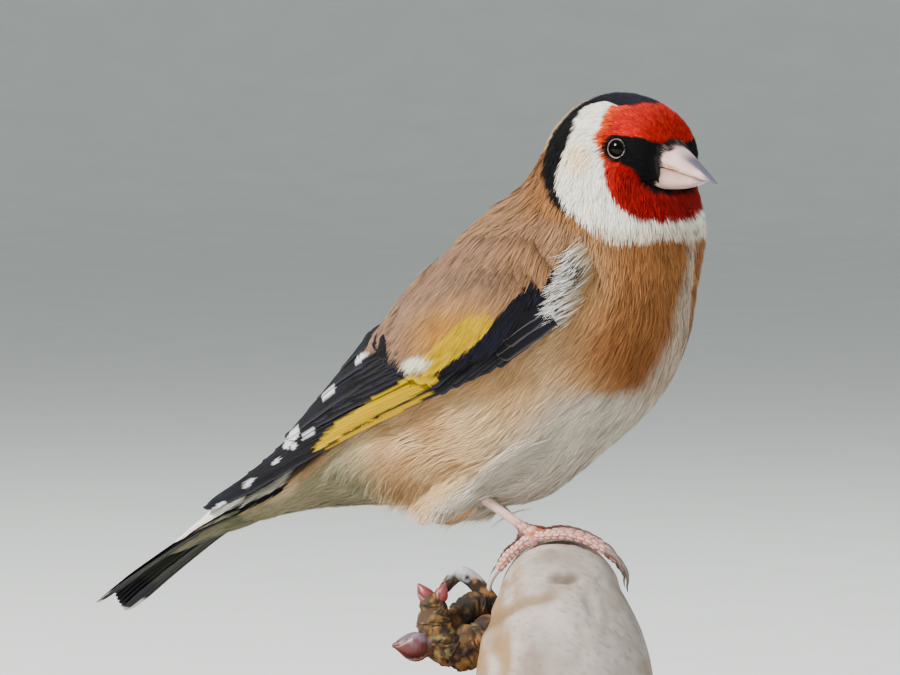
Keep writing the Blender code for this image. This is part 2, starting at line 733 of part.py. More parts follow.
def round_perch(along_it, degrees, clear):
    """A place over the perch's bark: degrees from its top, positive towards its front side."""
    rows = [("", *p) for p in PERCH_LINE]
    near = np.interp(along_it, [p[0] for p in PERCH_LINE], range(len(PERCH_LINE)))
    _, height, radius = station(near, rows)
    angle = math.radians(degrees)
    reach = radius + clear
    return on_perch(along_it, reach * math.sin(angle), height + reach * math.cos(angle))


def make_feet(torso_guard):
    """Each leg's feathered thigh, bare tarsus, and foot with its four toes and claws."""
    for name, side, joint, heel, fluff in FEET:
        joint_at = on_perch(*joint)
        heel, fluff = np.array(heel), np.array(fluff)
        thigh = make_thigh("thigh_" + name, heel, fluff, side)
        boolean(thigh, torso_guard, "DIFFERENCE")
        paint(largest_only(thigh), CREAM, 0.9)

        pieces = [ball("palm", joint_at + np.array((0, 0, -0.35)), 1.15, segments=10, rings=7)]
        pieces.append(tube("web", [joint_at, round_perch(joint[0], -14.0, TOE_RADIUS + GAP + 0.1)],
                           [1.1, 0.8]))
        for number, spread, reaches in TOES:
            path, radii = [joint_at + np.array((0, 0, -0.3))], [0.85]
            for k, degrees in enumerate(reaches):
                share = (k + 1) / len(reaches)
                path.append(round_perch(
                    joint[0] + spread * share ** 0.7, degrees, TOE_RADIUS + GAP + 0.06))
                radii.append(TOE_RADIUS * (1.0 - 0.14 * share))
            pieces.append(tube("toe", path, radii))
            start = reaches[-1]
            step = math.copysign(CLAW_LENGTHS[number], start if number == 1 else 1.0)
            claw_path, claw_radii = [], []
            for k in range(6):
                share = k / 5
                arch = 0.75 * math.sin(math.pi * min(share * 1.15, 1.0)) + 0.5 * (1 - share)
                slack = math.copysign(2.1, step)
                claw_path.append(round_perch(
                    joint[0] + spread, start + slack + step * share, 0.5 + GAP + arch * 0.7))
                claw_radii.append(0.5 * (1.0 - 0.74 * share))
            claw = tube("claw_%s_%d" % (name, number), claw_path, claw_radii, sides_level=1)
            paint(claw, CLAW, 0.35)
        foot = fuse("foot_" + name, pieces)
        paint(foot, FLESH, 0.6)

        run = joint_at - heel
        run /= np.linalg.norm(run)
        guard = ball("guard", joint_at + np.array((0, 0, -0.35)), 1.15 + GAP, keep=False)
        path = [heel + run * 0.1, heel + run * 2.5, heel + run * 6.0, joint_at]
        tarsus = tube("tarsus_" + name, path, [0.9, TARSUS_RADIUS, TARSUS_RADIUS, 0.95])
        thigh_guard = grown(bpy.data.objects["thigh_" + name], GAP)
        foot_guard = grown(foot, GAP)
        boolean(tarsus, guard, "DIFFERENCE")
        boolean(tarsus, thigh_guard, "DIFFERENCE")
        boolean(tarsus, foot_guard, "DIFFERENCE", "MANIFOLD")
        boolean(tarsus, torso_guard, "DIFFERENCE")
        remove(guard, thigh_guard, foot_guard)
        paint(largest_only(tarsus), FLESH, 0.55)


def grown(made, margin):
    """A copy of an object, swollen by a margin in millimetres, for cutting its neighbours clear."""
    copy = new_object(made.name + "_guard", made.data.copy(), keep=False)
    shape = bmesh.new()
    shape.from_mesh(copy.data)
    bmesh.ops.recalc_face_normals(shape, faces=shape.faces)
    shape.normal_update()
    for vert in shape.verts:
        sharp = max(vert.calc_shell_factor(), 1.0)
        vert.co += vert.normal * min(sharp, 1.6) * margin * MM
    shape.to_mesh(copy.data)
    shape.free()
    return copy


def make_thigh(name, heel, fluff, side):
    """The fluffed feathering of the upper leg, round its axis from the flank to the heel."""
    rings = []
    run = fluff - heel
    length = np.linalg.norm(run)
    run /= length
    aside = np.array((0.0, 1.0, 0.0))
    up = np.cross(aside, run)
    up *= math.copysign(1.0, up[2])
    for share in (-0.02, 0.1, 0.26, 0.45, 0.64, 0.82, 0.95, 1.0):
        fat = math.sqrt(max(0.03, 1.0 - ((share - 0.46) / 0.56) ** 2))
        middle = heel + run * length * share + up * (1.2 * fat)
        ring = []
        for k in range(14):
            angle = 2 * math.pi * k / 14
            ring.append(middle + aside * 3.4 * fat * math.sin(angle) + up * 3.6 * fat * math.cos(angle))
        rings.append(ring)
    return loft(name, rings)


# The stand: a walnut plate, and two brass rods up into the perch.
BASE_LONG, BASE_WIDE, BASE_HIGH = 84.0, 66.0, 5.0
ROD_RADIUS, SOCKET_DEPTH = 2.0, 3.0
RODS = (("front", 20.0), ("back", -8.0))


def make_stand(perch):
    bpy.ops.mesh.primitive_cube_add(size=1.0, location=(0.0, 0.0, BASE_HIGH / 2 * MM))
    base = bpy.context.object
    for other in list(base.users_collection):
        other.objects.unlink(base)
    bird.objects.link(base)
    base.name = "stand_base"
    shape = bmesh.new()
    shape.from_mesh(base.data)
    bmesh.ops.scale(shape, vec=(BASE_LONG * MM, BASE_WIDE * MM, BASE_HIGH * MM), verts=shape.verts)
    upright = [e for e in shape.edges if abs(e.verts[0].co.z - e.verts[1].co.z) > 0.001]
    bmesh.ops.bevel(shape, geom=upright, offset=8.0 * MM, segments=4, profile=0.5, affect="EDGES")
    rim = [e for e in shape.edges if min(v.co.z for v in e.verts) > BASE_HIGH * 0.49 * MM]
    bmesh.ops.bevel(shape, geom=rim, offset=1.2 * MM, segments=2, profile=0.5, affect="EDGES")
    shape.to_mesh(base.data)
    shape.free()
    paint(base, WALNUT, 0.4)

    rows = [("", *p) for p in PERCH_LINE]
    floor = BASE_HIGH + GAP - PERCH_Z
    for name, along_it in RODS:
        near = np.interp(along_it, [p[0] for p in PERCH_LINE], range(len(PERCH_LINE)))
        _, height, radius = station(near, rows)
        under = height if along_it == PERCH_LINE[-1][0] else height - radius * 0.97
        foot = on_perch(along_it, 0.0, floor)
        top = on_perch(along_it, 0.0, under + SOCKET_DEPTH)
        socket = rod_between("socket", foot, top, ROD_RADIUS + GAP, keep=False)
        boolean(perch, socket, "DIFFERENCE")
        remove(socket)
        tip = top + np.array((0.0, 0.0, -GAP))
        paint(rod_between("stand_rod_" + name, foot, tip, ROD_RADIUS), BRASS, 0.3, metallic=1.0)
    return base


# The perch's side spur: along, across and height of its bends, with its radius.
SPUR = (
    (6.0, -11.4, -5.0, 3.4),
    (7.5, -14.0, -7.0, 3.0),
    (8.6, -17.0, -6.6, 2.7),
    (9.0, -18.6, -3.4, 2.4),
    (9.0, -18.9, -0.6, 1.7),
)
TWIG = ((3.6, -10.6, 0.2, 1.3), (3.6, -13.2, 3.2, 1.3), (3.9, -15.4, 4.2, 1.2), (4.6, -17.4, 2.2, 0.9))
BUDS = (
    # name   along, across, height of its root    of its tip             radius
    ("bud_upper", (9.0, -19.6, 0.2), (8.8, -21.4, 2.9), 1.25),
    ("bud_middle", (9.2, -18.4, 0.4), (9.2, -17.4, 3.0), 1.1),
    ("bud_lower", (9.6, -20.2, -6.4), (10.4, -25.0, -6.2), 2.3),
)


def make_spur(perch):
    """The short side shoot, with a curved twig and the buds at its end."""
    pieces = [
        tube("perch_spur", [on_perch(*p[:3]) for p in SPUR], [p[3] for p in SPUR]),
        tube("twig", [on_perch(*p[:3]) for p in TWIG], [p[3] for p in TWIG]),
    ]
    for along_it, across, height, radius in SPUR[1:]:
        pieces.append(ball("knot", on_perch(along_it, across - 0.6, height + 0.5), radius * 1.08,
                           segments=8, rings=6, stretch=(1.0, 1.0, 0.8)))
    return pieces


def bud_ring(root, tip, radius, share):
    root, tip = on_perch(*root), on_perch(*tip)
    run = tip - root
    length = np.linalg.norm(run)
    run /= length
    aside = np.cross(run, (0.0, 0.0, 1.0))
    if np.linalg.norm(aside) < 0.2:
        aside = np.cross(run, (1.0, 0.0, 0.0))
    aside /= np.linalg.norm(aside)
    other = np.cross(run, aside)
    fat = radius * (math.sin(math.pi * (0.18 + 0.76 * share)) ** 0.8) * (1.15 - 0.45 * share)
    return [root + run * length * share + (aside * math.cos(a) + other * math.sin(a)) * fat
            for a in [2 * math.pi * k / 10 for k in range(10)]]


def make_buds():
    for name, root, tip, radius in BUDS:
        rings = [bud_ring(root, tip, radius, s) for s in (0.0, 0.15, 0.35, 0.55, 0.75, 0.9, 1.0)]
        paint(loft(name, rings), BUD, 0.45)


for old in list(bpy.data.objects):
    bpy.data.objects.remove(old)
bird = bpy.data.collections.new("goldfinch_on_stand")
helpers = bpy.data.collections.new("cutters_and_guides")
bpy.context.scene.collection.children.link(bird)
bpy.context.scene.collection.children.link(helpers)

torso, neck, head = make_body()
make_eyes(head)
make_bill()
make_wings()
make_tail()
torso_guard = grown(torso, GAP + 0.05)
make_feet(torso_guard)
remove(torso_guard)
perch = make_perch()
make_stand(perch)
spur = fuse("perch_spur", make_spur(perch))
perch_guard = grown(perch, GAP)
boolean(spur, perch_guard, "DIFFERENCE")
remove(perch_guard)
paint(largest_only(spur), BARK, 0.9)
make_buds()
spur_guard = grown(spur, GAP)
for name, *_ in BUDS:
    bud = bpy.data.objects[name]
    boolean(bud, spur_guard, "DIFFERENCE")
    largest_only(bud)
remove(spur_guard)
paint(largest_only(perch), BARK, 0.9)
paint(torso, BROWN, 0.9)
paint(neck, CREAM, 0.9)
paint(head, RED, 0.9)
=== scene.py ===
"""Looks of a perched European goldfinch on a cut branch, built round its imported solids."""
import math

import bpy
import numpy as np
from mathutils import Matrix, Vector
from mathutils.bvhtree import BVHTree


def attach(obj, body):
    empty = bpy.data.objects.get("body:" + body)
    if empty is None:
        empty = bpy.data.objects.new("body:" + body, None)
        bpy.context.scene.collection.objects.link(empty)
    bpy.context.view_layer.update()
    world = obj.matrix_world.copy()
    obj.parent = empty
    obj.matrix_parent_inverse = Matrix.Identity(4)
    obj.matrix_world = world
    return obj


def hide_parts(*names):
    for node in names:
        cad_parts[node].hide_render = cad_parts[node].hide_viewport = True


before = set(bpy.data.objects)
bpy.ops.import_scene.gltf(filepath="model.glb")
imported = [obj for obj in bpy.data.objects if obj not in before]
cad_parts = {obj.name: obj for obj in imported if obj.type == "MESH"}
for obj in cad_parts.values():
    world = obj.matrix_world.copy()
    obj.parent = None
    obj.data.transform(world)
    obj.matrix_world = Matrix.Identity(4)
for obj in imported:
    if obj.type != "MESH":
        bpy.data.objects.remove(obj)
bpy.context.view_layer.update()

# ---- Sizes, in millimetres of the bird's own elevation, as in the part's source ----
ORIGIN = np.array((10.0, 6.0, 32.5))
BODY = np.array((
    (-51.0, 15.6, -50.8, 10.8, 4.6),
    (-44.6, 19.4, -45.0, 12.2, 6.4),
    (-37.8, 26.6, -38.0, 13.2, 8.8),
    (-32.5, 33.3, -30.0, 13.6, 11.6),
    (-26.9, 40.0, -21.5, 13.8, 13.8),
    (-21.5, 48.1, -12.0, 13.8, 15.0),
    (-15.6, 55.2, -3.0, 15.4, 15.7),
    (-10.1, 60.0, 6.0, 22.0, 15.5),
    (-6.5, 62.4, 14.7, 29.4, 14.8),
    (-4.2, 64.5, 19.8, 38.3, 13.8),
    (-2.9, 66.4, 21.6, 47.2, 12.9),
    (-1.9, 68.5, 22.7, 54.7, 12.1),
    (0.0, 72.0, 22.3, 59.8, 11.2),
    (3.6, 75.2, 21.3, 61.6, 10.0),
    (8.5, 76.9, 20.6, 62.1, 8.6),
    (13.7, 76.5, 20.6, 62.3, 7.9),
    (18.2, 74.2, 20.7, 62.5, 6.9),
    (20.5, 69.9, 20.5, 62.7, 4.7),
))
CARRIER = np.vstack((np.array((
    (-66.0, 9.0, -65.0, 4.0, 3.0),
    (-58.8, 12.9, -58.2, 7.0, 3.6),
    (-51.8, 17.0, -51.5, 9.6, 5.4),
    (-45.6, 21.6, -45.3, 11.6, 7.2),
    (-39.0, 28.0, -38.0, 12.9, 9.8),
    (-33.2, 34.4, -30.0, 13.4, 12.2),
    (-27.6, 41.1, -21.5, 13.8, 14.3),
    (-21.8, 48.6, -12.0, 13.8, 15.4),
)), BODY[6:12]))
CARRIER_CLEAR = 0.65
HEAD_TURN, TURN_X = math.radians(14.0), 10.1
TURN_FROM, TURN_TO = 9.0, 13.0
AZIMUTH, RISE = math.radians(26.0), math.radians(2.2)
PIXELS = 6.6
EYE_X, EYE_SIDE, EYE_Z = 14.9, 6.0, 68.6
EYE_RADIUS, LID_PLACE = 1.98, 1.72
rng = np.random.default_rng(7)


def smooth(t):
    t = np.clip(t, 0.0, 1.0)
    return t * t * (3.0 - 2.0 * t)


def mix(a, b, share):
    share = np.asarray(share)[..., None]
    return a * (1.0 - share) + b * share


def rows_at(rows, place):
    """Rows of a loft between its stations, on a smooth curve through them."""
    last = len(rows) - 1
    i = np.clip(np.floor(place).astype(int), 0, last - 1)
    t = (place - i)[:, None]
    before, start = rows[np.maximum(i - 1, 0)], rows[i]
    end, after = rows[i + 1], rows[np.minimum(i + 2, last)]
    leave = np.where((i == 0)[:, None], end - start, (end - before) / 2.0)
    arrive = np.where((i == last - 1)[:, None], end - start, (after - start) / 2.0)
    return ((2 * t**3 - 3 * t**2 + 1) * start + (t**3 - 2 * t**2 + t) * leave
            + (-2 * t**3 + 3 * t**2) * end + (t**3 - t**2) * arrive)


def loft_points(place, angle, grow, rows):
    """Points on a loft: angle 0 is the back, and positive angles are the bird's left."""
    place, angle = np.asarray(place, float), np.asarray(angle, float)
    row = rows_at(rows, place)
    middle = np.stack(((row[:, 0] + row[:, 2]) / 2, 0 * place, (row[:, 1] + row[:, 3]) / 2), 1)
    upward = np.stack(((row[:, 0] - row[:, 2]) / 2, 0 * place, (row[:, 1] - row[:, 3]) / 2), 1)
    depth = np.linalg.norm(upward, axis=1, keepdims=True)
    grow = np.broadcast_to(grow, place.shape)[:, None]
    upward *= (depth + grow) / depth
    points = middle + upward * np.cos(angle)[:, None]
    points[:, 1] += (row[:, 4] + grow[:, 0]) * np.sin(angle)
    turn = -HEAD_TURN * smooth((place - TURN_FROM) / (TURN_TO - TURN_FROM))
    x, y = points[:, 0] - TURN_X, points[:, 1].copy()
    points[:, 0] = TURN_X + x * np.cos(turn) - y * np.sin(turn)
    points[:, 1] = x * np.sin(turn) + y * np.cos(turn)
    return points


def on_body(place, angle, grow=0.0):
    return loft_points(place, angle, grow, BODY)


def on_carrier(place, angle, grow=0.0):
    return loft_points(place, angle, np.asarray(grow) + CARRIER_CLEAR, CARRIER)


def in_head(x, y, z):
    cosine, sine = math.cos(-HEAD_TURN), math.sin(-HEAD_TURN)
    x = x - TURN_X
    return np.array((TURN_X + x * cosine - y * sine, x * sine + y * cosine, z))


def noise(points, size, seed=0):
    """Smooth noise from -1 to 1 at points, with lumps of about this size."""
    q = points / size + 31.7 * seed + 4000.0
    base = np.floor(q).astype(np.int64)
    t = q - base
    t = t * t * (3 - 2 * t)
    total = np.zeros(len(points))
    for corner in range(8):
        step = np.array((corner & 1, corner >> 1 & 1, corner >> 2 & 1))
        cell = base + step
        mixed = (cell[:, 0] * 73856093) ^ (cell[:, 1] * 19349663) ^ (cell[:, 2] * 83492791)
        mixed = ((mixed ^ (mixed >> 13)) * 1274126177) & 0xFFFFFFFF
        value = ((mixed >> 8) & 0xFFFF) / 32767.5 - 1.0
        total += value * np.prod(np.where(step > 0, t, 1 - t), axis=1)
    return total


def seen(points):
    """Where points of the bird's right side, or of its left side mirrored, lie in the picture."""
    x, y, z = points[:, 0], -np.abs(points[:, 1]), points[:, 2]
    right = x * math.cos(AZIMUTH) + y * math.sin(AZIMUTH)
    toward = x * math.sin(AZIMUTH) - y * math.cos(AZIMUTH)
    up = z * math.cos(RISE) - toward * math.sin(RISE)
    nearer = 1500.0 / (1500.0 - toward)
    return np.stack((450 + (110 + PIXELS * right) * nearer,
                     337.5 + (262.5 - PIXELS * up) * nearer), 1)


def inside(at, outline):
    """Whether points of the plane are inside an outline."""
    outline = np.asarray(outline, float)
    found = np.zeros(len(at), bool)
    for (ax, ay), (bx, by) in zip(outline, np.roll(outline, -1, 0)):
        crosses = (ay > at[:, 1]) != (by > at[:, 1])
        reach = ax + (at[:, 1] - ay) * (bx - ax) / (by - ay if by != ay else 1e-9)
        found ^= crosses & (at[:, 0] < reach)
    return found


def colour(*srgb):
    """A colour from its display values, in linear light."""
    c = np.asarray(srgb, float) / 255.0
    return np.where(c <= 0.04045, c / 12.92, ((c + 0.055) / 1.055) ** 2.4)


# ---- Plumage colours ----
BLACK, BLUE_BLACK = colour(13, 12, 14), colour(20, 20, 31)
WHITE, CREAM, BUFF_WHITE = colour(252, 247, 236), colour(250, 220, 168), colour(200, 172, 134)
RED, DEEP_RED, ORANGE = colour(196, 20, 12), colour(142, 11, 11), colour(228, 84, 14)
MANTLE, WARM_BROWN, SCAPULAR = colour(152, 116, 86), colour(158, 110, 68), colour(146, 115, 93)
BREAST, FLANK, FLANK_PALE = colour(152, 96, 52), colour(197, 153, 106), colour(224, 190, 146)
# The belly, vent and tail-underside colours are darker than the bird's own pale underparts: painted shade for the
# underside, a little on the belly and much on the vent and the tail's underside.
BELLY, VENT_SHADED, YELLOW = colour(202, 190, 174), colour(134, 130, 104), colour(194, 158, 0)
TAIL_UNDER_SHADED = colour(50, 51, 44)

# ---- Borders of the markings on the head: degrees round from the crown, and place along ----
RED_FROM = ((0, 15.6), (10, 15.5), (27, 15.3), (34, 15.1), (38, 14.8), (41, 14.5), (58, 14.25), (72, 13.95), (81, 13.4),
            (87, 13.4), (95, 13.1), (103, 12.91), (108, 12.4), (112, 11.7), (116, 11.4),
            (124, 11.26), (133, 11.19), (148, 11.31), (168, 11.5), (180, 11.5))
MASK_FROM = ((0, 16.95), (39, 16.85), (61, 16.45), (72, 15.9), (79, 15.2), (82, 14.5), (92, 13.72),
             (102, 13.25), (110, 13.4), (118, 14.0), (125, 14.3), (132, 13.6), (143, 12.8),
             (154, 12.6), (168, 12.8), (180, 13.0))
BAND_REAR = ((10.0, 74), (10.02, 64), (10.14, 54), (10.51, 44), (11.11, 40), (11.7, 38),
             (12.43, 33), (12.99, 26), (13.42, 18), (13.6, 0))
BAND_FRONT = ((10.14, 80), (10.24, 74), (10.53, 66), (11.09, 65), (11.65, 68), (12.4, 68),
              (12.82, 61), (13.18, 49), (13.55, 35), (14.2, 32), (14.7, 39), (15.05, 39), (15.3, 41))
BELLY_FROM = ((3.4, 178), (4.2, 170), (5.0, 148), (5.6, 138), (6.5, 130), (7.3, 131), (7.7, 138),
              (8.0, 150), (8.3, 162), (9.0, 165), (9.6, 167), (10.3, 176), (11, 180))
COLLAR = ((0, 11.2), (45, 10.4), (75, 10.05), (94, 10.19), (104, 10.19), (120, 10.31), (130, 10.53),
          (140, 10.75), (158, 11.0), (180, 11.0))


def line(border, at):
    return np.interp(at, [p[0] for p in border], [p[1] for p in border])


def body_tint(place, angle, points):
    """The colour of the body's plumage at places on it."""
    round_it = np.degrees(np.abs((angle + np.pi) % (2 * np.pi) - np.pi))
    patch = noise(points, 7.0, 3)
    # Body: warm brown above, buff on the flank, brown on the breast's sides and white below.
    tint = mix(WARM_BROWN, MANTLE, smooth((9.6 - place) / 2.0 + 0.3 * patch))
    side = smooth((round_it - 62) / 26 + 0.12 * patch)
    low = mix(FLANK, FLANK_PALE, smooth(0.5 + 0.8 * patch) * smooth((9.0 - place) / 3.0))
    tint = mix(tint, low, side * smooth((10.3 - place) / 1.2 + (round_it - 95) / 60))
    breast = smooth((round_it - 96) / 36) * smooth((place - 7.3 + 0.4 * patch) / 1.1)
    tint = mix(tint, BREAST, breast * 0.9)
    # Darker brown low on the breast's front: partly the breast patch's own colour, partly painted shade on the side
    # turned from the light.
    dark = np.exp(-((place - 8.5) / 0.8) ** 2 - ((round_it - 148) / 22) ** 2)
    tint = mix(tint, colour(122, 70, 34), dark * 0.65)
    soft = 6 + 10 * smooth((7.9 - place) / 0.6)
    belly = smooth(0.5 + (round_it - line(BELLY_FROM, place) + 7 * patch) / (2 * soft))
    belly *= 1 - 0.35 * smooth((place - 7.8) / 0.5)
    tint = mix(tint, BELLY, belly)
    # The vent's colour carries painted shade.
    vent = smooth((3.7 - place + 0.4 * patch) / 1.0) * smooth((round_it - 88 - 10 * patch) / 30)
    tint = mix(tint, VENT_SHADED, vent * 0.9)
    rump = smooth((1.6 - place) / 0.5) * smooth((88 - round_it) / 16)
    tint = mix(tint, WHITE, rump * 0.9)
    # Painted shadow: dark brown on the rump's sides, under the wing tips.
    painted_wing_shadow = smooth((place - 1.1) / 0.3) * smooth((4.4 - place) / 0.8) * smooth((92 - round_it) / 8)
    tint = mix(tint, colour(62, 50, 42), painted_wing_shadow * smooth((round_it - 20) / 20) * 0.9)
    web = (place < 1.3) & (np.abs(round_it - 91) < 11 - 3 * place)
    tint[web] = BLUE_BLACK
    at = seen(points)
    at = at + np.stack((noise(points, 1.6, 71), noise(points, 1.6, 72)), 1) * 5
    tint = mix(tint, mix(SCAPULAR, WARM_BROWN, 0.25), 0.75 * inside(at, SHOULDER))
    # Head.
    rear, front = line(BAND_REAR, place), line(BAND_FRONT, place)
    nape = (place > 11.4) & (round_it < rear) & (place < 13.6)
    tint[nape] = BUFF_WHITE
    cheek = (place > line(COLLAR, round_it)) & (round_it > (rear + front) / 2)
    tint[cheek] = WHITE
    creamy = cheek * smooth(1.6 - np.hypot((place - 12.2) / 0.55, (round_it - 82) / 11))
    tint = mix(tint, CREAM, creamy * 0.6)
    fringe = smooth(1 - (place - line(COLLAR, round_it)) / 0.5) * cheek * (round_it > 100)
    tint = mix(tint, BUFF_WHITE, fringe * 0.6)
    black = ((place > 10.0) & (round_it > rear) & (round_it < front)) | (
        (place > 13.5) & (round_it < front))
    # Painted sheen: the black of the crown turns bluish towards the top of the head, where the light falls.
    painted_cap_sheen = smooth((place - 12.8) / 1.2) * smooth(0.5 + patch)
    tint[black] = mix(np.broadcast_to(BLACK, tint.shape), BLUE_BLACK * 1.5, painted_cap_sheen)[black]
    red_from = line(RED_FROM, round_it)
    far = (angle > 0) * smooth((round_it - 112) / 26) * smooth((181 - round_it) / 32)
    red_from = red_from + 0.3 * far
    red = place > red_from
    deep = smooth((round_it - 105) / 30)
    reds = mix(RED, DEEP_RED, np.clip(deep + 0.25 * patch + 0.3 * noise(points, 0.7, 4), 0, 1))
    # Painted glints: paler orange-red flecks over the front of the red face stand in for highlights.
    painted_red_glint = smooth((noise(points, 0.28, 6) - 0.2) / 0.4) * smooth((125 - round_it) / 30)
    reds = mix(reds, colour(232, 74, 44), painted_red_glint * 0.5)
    edge = smooth(1 - (place - red_from) / 0.7) * smooth((112 - round_it) / 12) * (round_it > 38)
    reds = mix(reds, ORANGE, edge * 0.85)
    tint[red] = reds[red]
    mask = (place > line(MASK_FROM, round_it)) | (off_eye(points) < 2.02)
    tint[mask] = BLACK
    return tint


# ---- Markings of the wing, in the picture's own pixels on the near side ----
SOFT_WING = ((600, 225), (584, 250), (573, 264), (558, 276), (541, 288), (525, 296), (507, 306),
             (495, 316), (491, 329), (473, 345), (455, 358), (441, 367), (428, 372), (416, 369),
             (403, 362), (392, 354), (387, 342), (378, 346), (369, 350), (361, 353), (338, 345),
             (300, 300), (400, 190), (540, 170))
SHOULDER = ((500, 232), (522, 222), (551, 218), (574, 224), (590, 237), (592, 250), (584, 258),
            (566, 300), (520, 290))
LESSER = ((491, 329), (507, 306), (525, 296), (541, 288), (558, 276), (573, 264), (590, 250), (600, 262),
          (586, 290), (560, 318), (546, 332), (528, 322), (512, 334), (497, 350), (478, 358),
          (462, 366), (445, 372), (436, 372), (455, 358), (473, 345))
YELLOW_PATCH = ((492, 313), (494, 320), (491, 329), (473, 345), (455, 358), (441, 369), (428, 374),
                (424, 362), (434, 348), (452, 327), (470, 312))
YELLOW_BAR = ((416, 367), (441, 366), (437, 380), (430, 387), (408, 400), (369, 419.5), (330, 443),
              (312, 455), (318, 443), (330, 429), (342.5, 418.6), (367.5, 402.5), (384, 393.6),
              (402, 381))
YELLOW_STRIP = ((434, 388.5), (408, 402), (369, 422), (330, 445.5), (324, 452), (345, 443),
                (384, 423), (427, 396))
WHITE_SPOTS = (
    # centre, half length, half width, slope in degrees
    (361.5, 357, 10.5, 2.4, -38), (328.5, 392.5, 9.0, 3.4, -46), (291.5, 438, 12.5, 4.4, -56),
    (308.5, 434, 7.4, 3.4, -36), (293.6, 446, 4.2, 2.1, -50), (276.5, 461, 6.2, 2.0, -42),
    (249, 482.5, 6.2, 2.2, -38), (219, 506, 8.0, 2.2, -35),
)


def soft_wing_tint(points):
    """The colour of the soft feathers over the wing: grey-brown, with the yellow patch."""
    at = seen(points)
    patch = noise(points, 6.0, 5)
    warm = smooth((at[:, 0] - 470 + 30 * patch) / 90)
    tint = mix(SCAPULAR, WARM_BROWN, warm * 0.85)
    tint = mix(tint, MANTLE, smooth((300 - at[:, 1]) / 60) * 0.35)
    jag = at + np.stack((noise(points, 0.9, 8) * 3, noise(points, 0.9, 9) * 3), 1)
    fade = 1 - smooth(np.hypot((at[:, 0] - 462) / 52, (at[:, 1] - 338) / 38) - 0.35)
    tint = mix(tint, colour(206, 142, 22), fade * 0.6)
    yellow = inside(jag, YELLOW_PATCH)
    tint[yellow] = YELLOW
    lesser = inside(jag, LESSER) | (inside(at, LESSER) & ~inside(at, SOFT_WING))
    tint[lesser] = mix(np.broadcast_to(BLACK, tint.shape), BLUE_BLACK * 1.3,
                       smooth(0.5 + patch))[lesser]
    pale = 1 - smooth((np.hypot((at[:, 0] - 419) / 15, (at[:, 1] - 361) / 8) - 0.6) / 0.5)
    return mix(tint, colour(240, 236, 214), pale)


def vane_tint(points):
    """The colour of the wing's flight feathers: black, yellow across and white at the tips."""
    at = seen(points)
    jag = at + np.stack((noise(points, 0.4, 11), noise(points, 0.4, 12)), 1) * 0.7
    tint = mix(BLACK, BLUE_BLACK, smooth(0.5 + 0.7 * noise(points, 3.0, 13)))
    tint[inside(jag, YELLOW_BAR)] = YELLOW
    tint[inside(jag, YELLOW_STRIP)] = YELLOW * np.array((0.86, 0.78, 0.9))
    for x, y, long, wide, slope in WHITE_SPOTS:
        turn = math.radians(slope)
        dx, dy = jag[:, 0] - x, jag[:, 1] - y
        u = dx * math.cos(turn) + dy * math.sin(turn)
        v = -dx * math.sin(turn) + dy * math.cos(turn)
        tint[(u / long) ** 2 + (v / wide) ** 2 < 1] = colour(222, 220, 224)
    return tint


# ---- Meshes ----
def to_metres(points):
    return ((np.asarray(points) + ORIGIN) * 0.001).astype(np.float32)


def mesh_object(name, points, faces, tints=None, bake=None, marks=None, flat=False):
    """An object from arrays: points in millimetres, faces all of one size, colours by point."""
    points, faces = np.asarray(points), np.asarray(faces, np.int32)
    mesh = bpy.data.meshes.new(name)
    sides = faces.shape[1]
    mesh.vertices.add(len(points))
    mesh.vertices.foreach_set("co", to_metres(points).ravel())
    mesh.loops.add(faces.size)
    mesh.loops.foreach_set("vertex_index", faces.ravel())
    mesh.polygons.add(len(faces))
    mesh.polygons.foreach_set("loop_start", np.arange(0, faces.size, sides, dtype=np.int32))
    mesh.polygons.foreach_set("use_smooth", np.full(len(faces), not flat))
    mesh.update(calc_edges=True)
    if tints is not None:
        held = mesh.attributes.new("tint", "FLOAT_COLOR", "POINT")
        rgba = np.ones((len(points), 4), np.float32)
        rgba[:, :3] = tints
        held.data.foreach_set("color", rgba.ravel())
    for layer, uv in (("OFBake", bake), ("marks", marks)):
        if uv is not None:
            made = mesh.uv_layers.new(name=layer)
            made.data.foreach_set("uv", np.asarray(uv, np.float32)[faces.ravel()].ravel())
    made = bpy.data.objects.new(name, mesh)
    bpy.context.scene.collection.objects.link(made)
    return made


def grid_faces(rows, columns, start=0, closed=False):
    """The quads of a grid of points, which may close on itself across its columns."""
    i, k = np.meshgrid(np.arange(rows - 1), np.arange(columns if closed else columns - 1),
                       indexing="ij")
    a, b = i * columns + k, i * columns + (k + 1) % columns
    return start + np.stack((a, b, b + columns, a + columns), 2).reshape(-1, 4)


